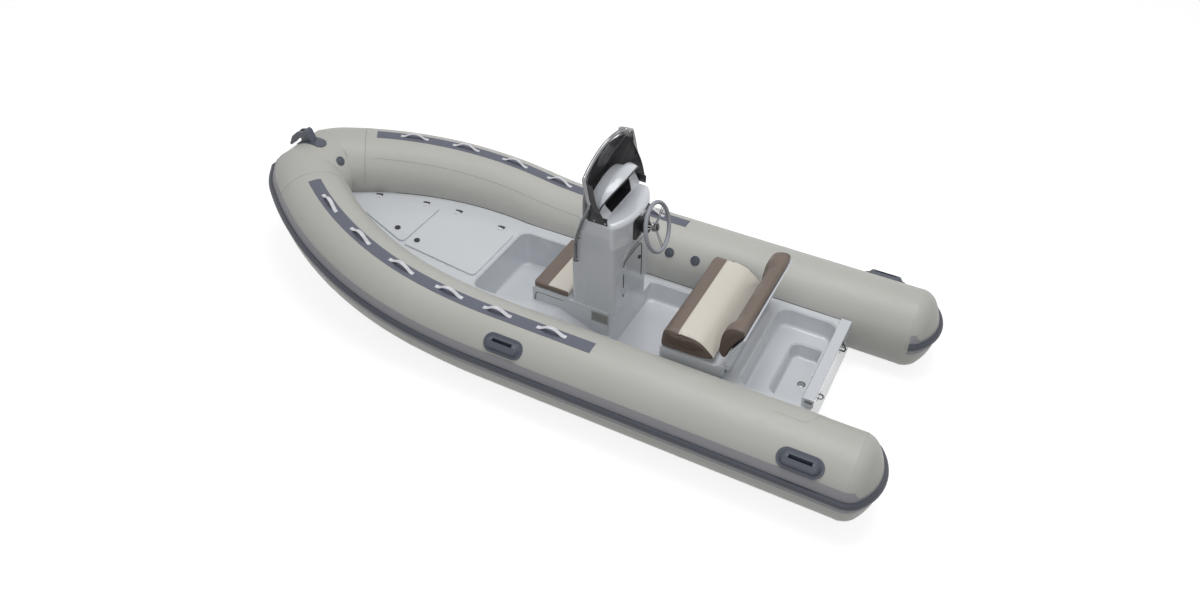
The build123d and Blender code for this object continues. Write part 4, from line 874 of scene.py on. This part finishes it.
# ---------------------------------------------------------------- bolts and small hardware
# Stainless steel: screws in the screen's base plates, four bolts through the transom, a drain in the splash
# well and one in the sole, and a clip on the transom's cap. The hook on the transom is black plastic.
BASE_PLATES_X, BASE_PLATE_Y, BASE_PLATE_Z, BASE_SCREW_R = (1458, 1386), 260.4, 1059, 7.0
BOLTS_XZ = ((70.0, 300.0), (77.5, 246.0))
BOLT_HEAD = [(13, 0), (13, 1.6), (11, 2.2), (7.4, 2.3), (7.2, 8), (6, 8.8)]
bolts = list(rivets)
bolts += [screw((x, side * BASE_PLATE_Y, BASE_PLATE_Z), (0, side, 0), BASE_SCREW_R)
          for side in (1, -1) for x in BASE_PLATES_X]
bolts += [lathe(BOLT_HEAD, (x, y, z), (1, 0, 0.14), 24) for y in (-105, 105) for x, z in BOLTS_XZ]
piece("bolts", joined(bolts), stainless)
DRAIN = [(26, 0), (26, 1.5), (24, 2.6), (17, 2.9), (15.5, 1.2), (15, 0.6), (4, 0.6), (3.6, 2.2), (1.2, 2.4)]
drains = [lathe(DRAIN, at, (0, 0, 1), 36) for at in ((150.0, 0.0, 110.0), (1050.0, 0.0, 60.0))]
piece("drains", joined(drains), stainless)
CLIP_X = 26.0
clip_tongue = rounded([(CLIP_X, y, z) for y, z in ((382, 366), (390, 370), (394, 380), (390, 390))], 4)
clip = [slab((CLIP_X, 379.8, 372.0), (-1, 0, 0), (0, 1, 0), wide=44, high=24, thick=4.0, corner=4),
        bar(clip_tongue, (1, 0, 0), (0, 1, 0.3), 15, 4)]
piece("cap_clip", joined(clip), stainless)
HOOK_Y, HOOK_R = -200, 4.5
hook = ((-3, 362), (-14, 352), (-27, 330), (-29, 310), (-20, 297), (-10, 303))
hook = rounded([(x, HOOK_Y, z) for x, z in hook], 5)
hook_plate = slab((-5.5, HOOK_Y, 358), (0, -1, 0), (-1, 0, 0), wide=34, high=20, thick=4, corner=4)
piece("transom_hook", joined([rod(hook, HOOK_R, 12), hook_plate]), black_plastic)

# ---------------------------------------------------------------- helm cushion
# Foam under soft vinyl: a brown band in front and brown ends, and a cream panel over its crown and down its
# back. A cloth simulation blows it up a little, and its seams are then pulled in and piped.


def settled(thing):
    """The mesh that an object's modifiers give; the modifiers go."""
    graph = bpy.context.evaluated_depsgraph_get()
    mesh = bpy.data.meshes.new_from_object(thing.evaluated_get(graph), depsgraph=graph)
    thing.modifiers.clear()
    return mesh


def held_points(thing):
    """Points of an object's mesh, in metres."""
    flat = np.empty(len(thing.data.vertices) * 3)
    thing.data.vertices.foreach_get("co", flat)
    return flat.reshape(-1, 3)


def put_points(thing, points):
    """Moves the points of an object's mesh."""
    thing.data.vertices.foreach_set("co", points.ravel())
    thing.data.update()


def pulled_in(pad, held, lowest, seams):
    """Sinks the skin along each seam by a bell curve of the distance to it, and puts the points back."""
    normals = np.empty(len(pad.data.vertices) * 3)
    pad.data.vertices.foreach_get("normal", normals)
    for measure, place, half_width, depth in seams:
        near = np.exp(-((measure(held / MM) - place) / half_width) ** 2)
        held = held - normals.reshape(-1, 3) * (near * depth * MM)[:, None]
    held[:, 2] = np.maximum(held[:, 2], lowest * MM)
    put_points(pad, held)


CLOTH_STEPS, CLOTH_PRESSURE = 20, 4.0


def blown_up(pad, cap):
    """The places of a pad's points after a cloth simulation under pressure, none moved further than cap."""
    start = held_points(pad)
    cloth = pad.modifiers.new("cloth", "CLOTH")
    cloth.settings.quality = 4
    cloth.settings.use_pressure = True
    cloth.settings.uniform_pressure_force = CLOTH_PRESSURE
    cloth.settings.effector_weights.gravity = 0.0
    cloth.collision_settings.use_collision = False
    cloth.point_cache.frame_end = CLOTH_STEPS
    for step in range(1, CLOTH_STEPS + 1):
        bpy.context.scene.frame_set(step)
    blown = settled(pad)
    bpy.context.scene.frame_set(1)
    pad.data = blown
    move = held_points(pad) - start
    length = np.linalg.norm(move, axis=1, keepdims=True)
    return start + move * np.minimum(1, cap * MM / np.maximum(length, 1e-9))


def swollen(name, part, finish, body, voxel, cap, lowest, seams):
    """A padded piece from a closed form in millimetres.

    voxel is the remesh's size, cap how far a point may move, and lowest the height that it rests on.
    Each seam is (measure, place, half_width, depth): where measure(points) nears place, the skin sinks.
    """
    points, faces = part
    mesh = bpy.data.meshes.new(name)
    mesh.from_pydata((points * MM).tolist(), [], faces)
    pad = bpy.data.objects.new(name, mesh)
    bpy.context.scene.collection.objects.link(pad)
    remesh = pad.modifiers.new("remesh", "REMESH")
    remesh.mode, remesh.voxel_size, remesh.use_smooth_shade = "VOXEL", voxel * MM, True
    pad.data = settled(pad)
    held = blown_up(pad, cap)
    held[:, 2] = np.maximum(held[:, 2], lowest * MM)
    put_points(pad, held)
    smooth = pad.modifiers.new("smooth", "SUBSURF")
    smooth.levels = smooth.render_levels = 1
    pad.data = settled(pad)
    pulled_in(pad, held_points(pad), lowest, seams)
    pad.data.shade_smooth()
    pad.data.materials.append(finish.material)
    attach(pad, body)
    return pad


def loaf(profile, half, edge):
    """An outline in (x, z) carried across the boat; at both ends it shrinks by a quarter circle of edge."""
    ahead = unit(np.roll(profile, -1, 0) - np.roll(profile, 1, 0))
    inward = np.stack([-ahead[:, 1], ahead[:, 0]], 1)
    inward *= np.sign(((profile.mean(0) - profile) * inward).sum(1).mean())
    t = np.linspace(0, np.pi / 2, 6)
    between = np.linspace(edge - half, half - edge, 24)[1:-1]
    insets = np.concatenate([edge * (1 - np.sin(t)), 0 * between, edge * (1 - np.sin(t[::-1]))])
    places = np.concatenate([edge * (1 - np.cos(t)) - half, between, half - edge * (1 - np.cos(t[::-1]))])
    outlines = profile + inward * insets[:, None, None]
    places = np.broadcast_to(places[:, None], outlines.shape[:2])
    return capped(np.stack([outlines[..., 0], places, outlines[..., 1]], -1))


def piping(surface, starts, aims, radius, closed=False):
    """A welt laid on a pad: points are cast from starts towards aims onto its skin, then joined up."""
    points = []
    for start, aim in zip(starts * MM, aims * MM):
        found, spot, normal, _ = surface.ray_cast(Vector(start), Vector(aim - start).normalized())
        if found:
            points.append(np.array(spot + normal * radius * MM * 0.35) / MM)
    return rod(np.array(points), radius, 8, closed)


def seam_on_top(surface, line, high, radius):
    """Piping along a line of (x, y), cast straight down from a height."""
    starts, aims = (np.column_stack([line, np.full(len(line), z)]) for z in (high, 0.0))
    return piping(surface, starts, aims, radius)


WELT_R = 2.2


def end_welts(surface, profile, middle, away, y):
    """Piping round both ends of a pad, cast at its middle from its outline drawn larger by the share away."""
    welts = []
    for side in (y, -y):
        outer = profile + (profile - middle) * away
        starts = np.stack([outer[:, 0], np.full(len(outer), side), outer[:, 1]], 1)
        aims = np.broadcast_to((middle[0], side, middle[1]), starts.shape)
        welts.append(piping(surface, starts, aims, WELT_R, True))
    return joined(welts)


VINYL_ROUGH, WELT_ROUGH = 0.48, 0.45
SHADED_ENDS_FROM, SHADED_ENDS_TO = 388.0, 400.0


def leather(finish, colour, rough):
    """Soft vinyl: pebbled grain about 1.5 mm across over broad soft creases."""
    wear = finish.noise(7.0, 5.0, 0.6)
    finish.feed("Base Color", colour)
    finish.feed("Roughness", finish.ease(wear, 0.3, 0.75, rough - 0.05, rough + 0.1))
    creases = finish.noise(16.0, 3.0, 0.5, finish.place((1.0, 0.35, 1.0)))
    finish.bump(finish.cells(620.0) * 0.3 + finish.noise(1400.0) * 0.1 + creases * 2.2, 0.0007, 0.7)
    return finish


def plain_vinyl(name, colour, rough):
    """Vinyl in one colour."""
    return leather(Finish(name, colour, rough), colour, rough)


def two_tone(name, pale):
    """Brown vinyl with a cream panel wherever pale(x, y) gives 1; painted shade darkens the brown on the
    ends.
    """
    finish = Finish(name, linear(112, 97, 86), VINYL_ROUGH)
    here = finish.node("ShaderNodeTexCoord", {}, {}, "Object")
    x, y = (finish.node("ShaderNodeSeparateXYZ", {}, {0: here}, axis) for axis in "XY")
    mottle = finish.noise(4.0, 4.0)
    brown = finish.mix(mottle, linear(106, 92, 83), linear(120, 106, 97))
    # Painted shade: the brown darkens towards the ends.
    brown = finish.mix(finish.ease(abs(y), SHADED_ENDS_FROM * MM, SHADED_ENDS_TO * MM), brown, linear(84, 69, 59))
    cream = finish.mix(mottle, linear(214, 208, 197), linear(224, 219, 209))
    return leather(finish, finish.mix(pale(x, y), brown, cream), VINYL_ROUGH)


cream_vinyl = plain_vinyl("cream_vinyl", linear(222, 217, 206), VINYL_ROUGH)
welt_vinyl = plain_vinyl("welt_vinyl", linear(74, 60, 50), WELT_ROUGH)

PAD_EDGE = 10.0
HELM_HALF, HELM_SEAM_X, HELM_END, HELM_REST = 398.0, 832.0, 388.0, 414.8
helm_vinyl = two_tone("helm_vinyl", lambda x, y: (x < HELM_SEAM_X * MM) * (abs(y) < HELM_END * MM))
helm_profile = rounded([(600, 452), (640, 434), (700, 421), (790, 416), (880, 416), (930, 418), (940, 440),
                        (937, 490), (929, 532), (905, 551), (860, 557), (800, 559), (745, 555), (690, 538),
                        (640, 502), (608, 470)], 6, closed=True)
helm_pad = swollen("helm_pad", loaf(helm_profile, HELM_HALF, PAD_EDGE), helm_vinyl, "helm_seat",
                   voxel=7.0, cap=5.0, lowest=HELM_REST,
                   seams=[(lambda p: p[:, 0], HELM_SEAM_X, 7.0, 3.2),
                          (lambda p: abs(p[:, 1]), HELM_END, 6.0, 2.2)])
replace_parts(helm_pad, "helm_cushion")
helm_line = np.column_stack([np.full(90, HELM_SEAM_X), np.linspace(-386, 386, 90)])
helm_seam = seam_on_top(helm_pad, helm_line, high=640.0, radius=1.6)
piece("helm_seam", helm_seam, cream_vinyl, "helm_seat")
helm_welts = end_welts(helm_pad, helm_profile, middle=(770.0, 480.0), away=0.4, y=390.0)
piece("helm_welts", helm_welts, welt_vinyl, "helm_seat")

# ---------------------------------------------------------------- backrest
# A brown bolster of foam under vinyl, which rolls over the top of its moulded shell. Its front is hollowed
# between the two ends, for the backs of two people.
BACK_HALF, BACK_REST, BACK_END = 405.0, 495.0, 396.0
HOLLOW, HOLLOW_HALF, HOLLOW_FADE = 30.0, 338.0, 90.0
brown_vinyl = two_tone("brown_vinyl", lambda x, y: 0.0)
back_profile = rounded([(556, 500), (577, 530), (580, 560), (575, 600), (571, 640), (560, 680), (535, 714),
                        (498, 733), (462, 737), (444, 722), (444, 696), (466, 662), (490, 622), (506, 588),
                        (518, 556), (530, 522), (538, 502)], 6, closed=True)
back_points, back_faces = loaf(back_profile, BACK_HALF, PAD_EDGE)
hollow = np.clip((HOLLOW_HALF - abs(back_points[:, 1])) / HOLLOW_FADE, 0, 1)
in_front = np.clip((back_points[:, 0] - 470) / 60, 0, 1)
back_points = back_points - (HOLLOW, 0, 0) * (hollow ** 2 * (3 - 2 * hollow) * in_front)[:, None]
back_pad = swollen("back_pad", (back_points, back_faces), brown_vinyl, "backrest", voxel=6.5, cap=4.0,
                   lowest=BACK_REST, seams=[(lambda p: abs(p[:, 1]), BACK_END, 6.0, 2.4)])
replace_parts(back_pad, "helm_backrest")
back_welts = end_welts(back_pad, back_profile, middle=(520.0, 630.0), away=0.5, y=397.0)
piece("back_welts", back_welts, welt_vinyl, "backrest")

# ---------------------------------------------------------------- front cushion
# Thin flat foam under vinyl on the lid of the front seat, cream in the middle, with a broad brown band
# forward and narrow ones at its ends.
FRONT_SEAM_X, FRONT_SEAM_Y, FRONT_REST = 1784.0, 244.0, 394.6
FRONT_X, FRONT_HALF_X, FRONT_HALF_Y, FRONT_CORNER = 1763.5, 129.0, 257.0, 18.0
FRONT_EDGE = ((5, 396), (1, 399), (0, 404), (0, 424), (1.5, 431), (6, 435), (14, 436.5))
front_vinyl = two_tone("front_vinyl", lambda x, y: (x < FRONT_SEAM_X * MM) * (abs(y) < FRONT_SEAM_Y * MM))
rows = []
for inset, z in FRONT_EDGE:
    u, v = rounded_box(FRONT_HALF_X, FRONT_HALF_Y, FRONT_CORNER, inset)
    rows.append(np.stack([FRONT_X + u, v, np.full(len(u), float(z))], 1))
front_pad = swollen("front_pad", capped(np.array(rows)), front_vinyl, "front_seat", voxel=6.0, cap=4.0,
                    lowest=FRONT_REST, seams=[(lambda p: p[:, 0], FRONT_SEAM_X, 6.0, 2.4),
                                              (lambda p: abs(p[:, 1]), FRONT_SEAM_Y, 5.0, 1.6)])
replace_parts(front_pad, "front_cushion")
side_run, cross_run = np.linspace(1640, FRONT_SEAM_X, 20), np.linspace(-FRONT_SEAM_Y, FRONT_SEAM_Y, 60)
front_line = np.concatenate([np.column_stack([side_run, np.full(20, -FRONT_SEAM_Y)]),
                             np.column_stack([np.full(60, FRONT_SEAM_X), cross_run]),
                             np.column_stack([side_run[::-1], np.full(20, FRONT_SEAM_Y)])])
front_seam = seam_on_top(front_pad, front_line, high=500.0, radius=1.4)
piece("front_seam", front_seam, cream_vinyl, "front_seat")
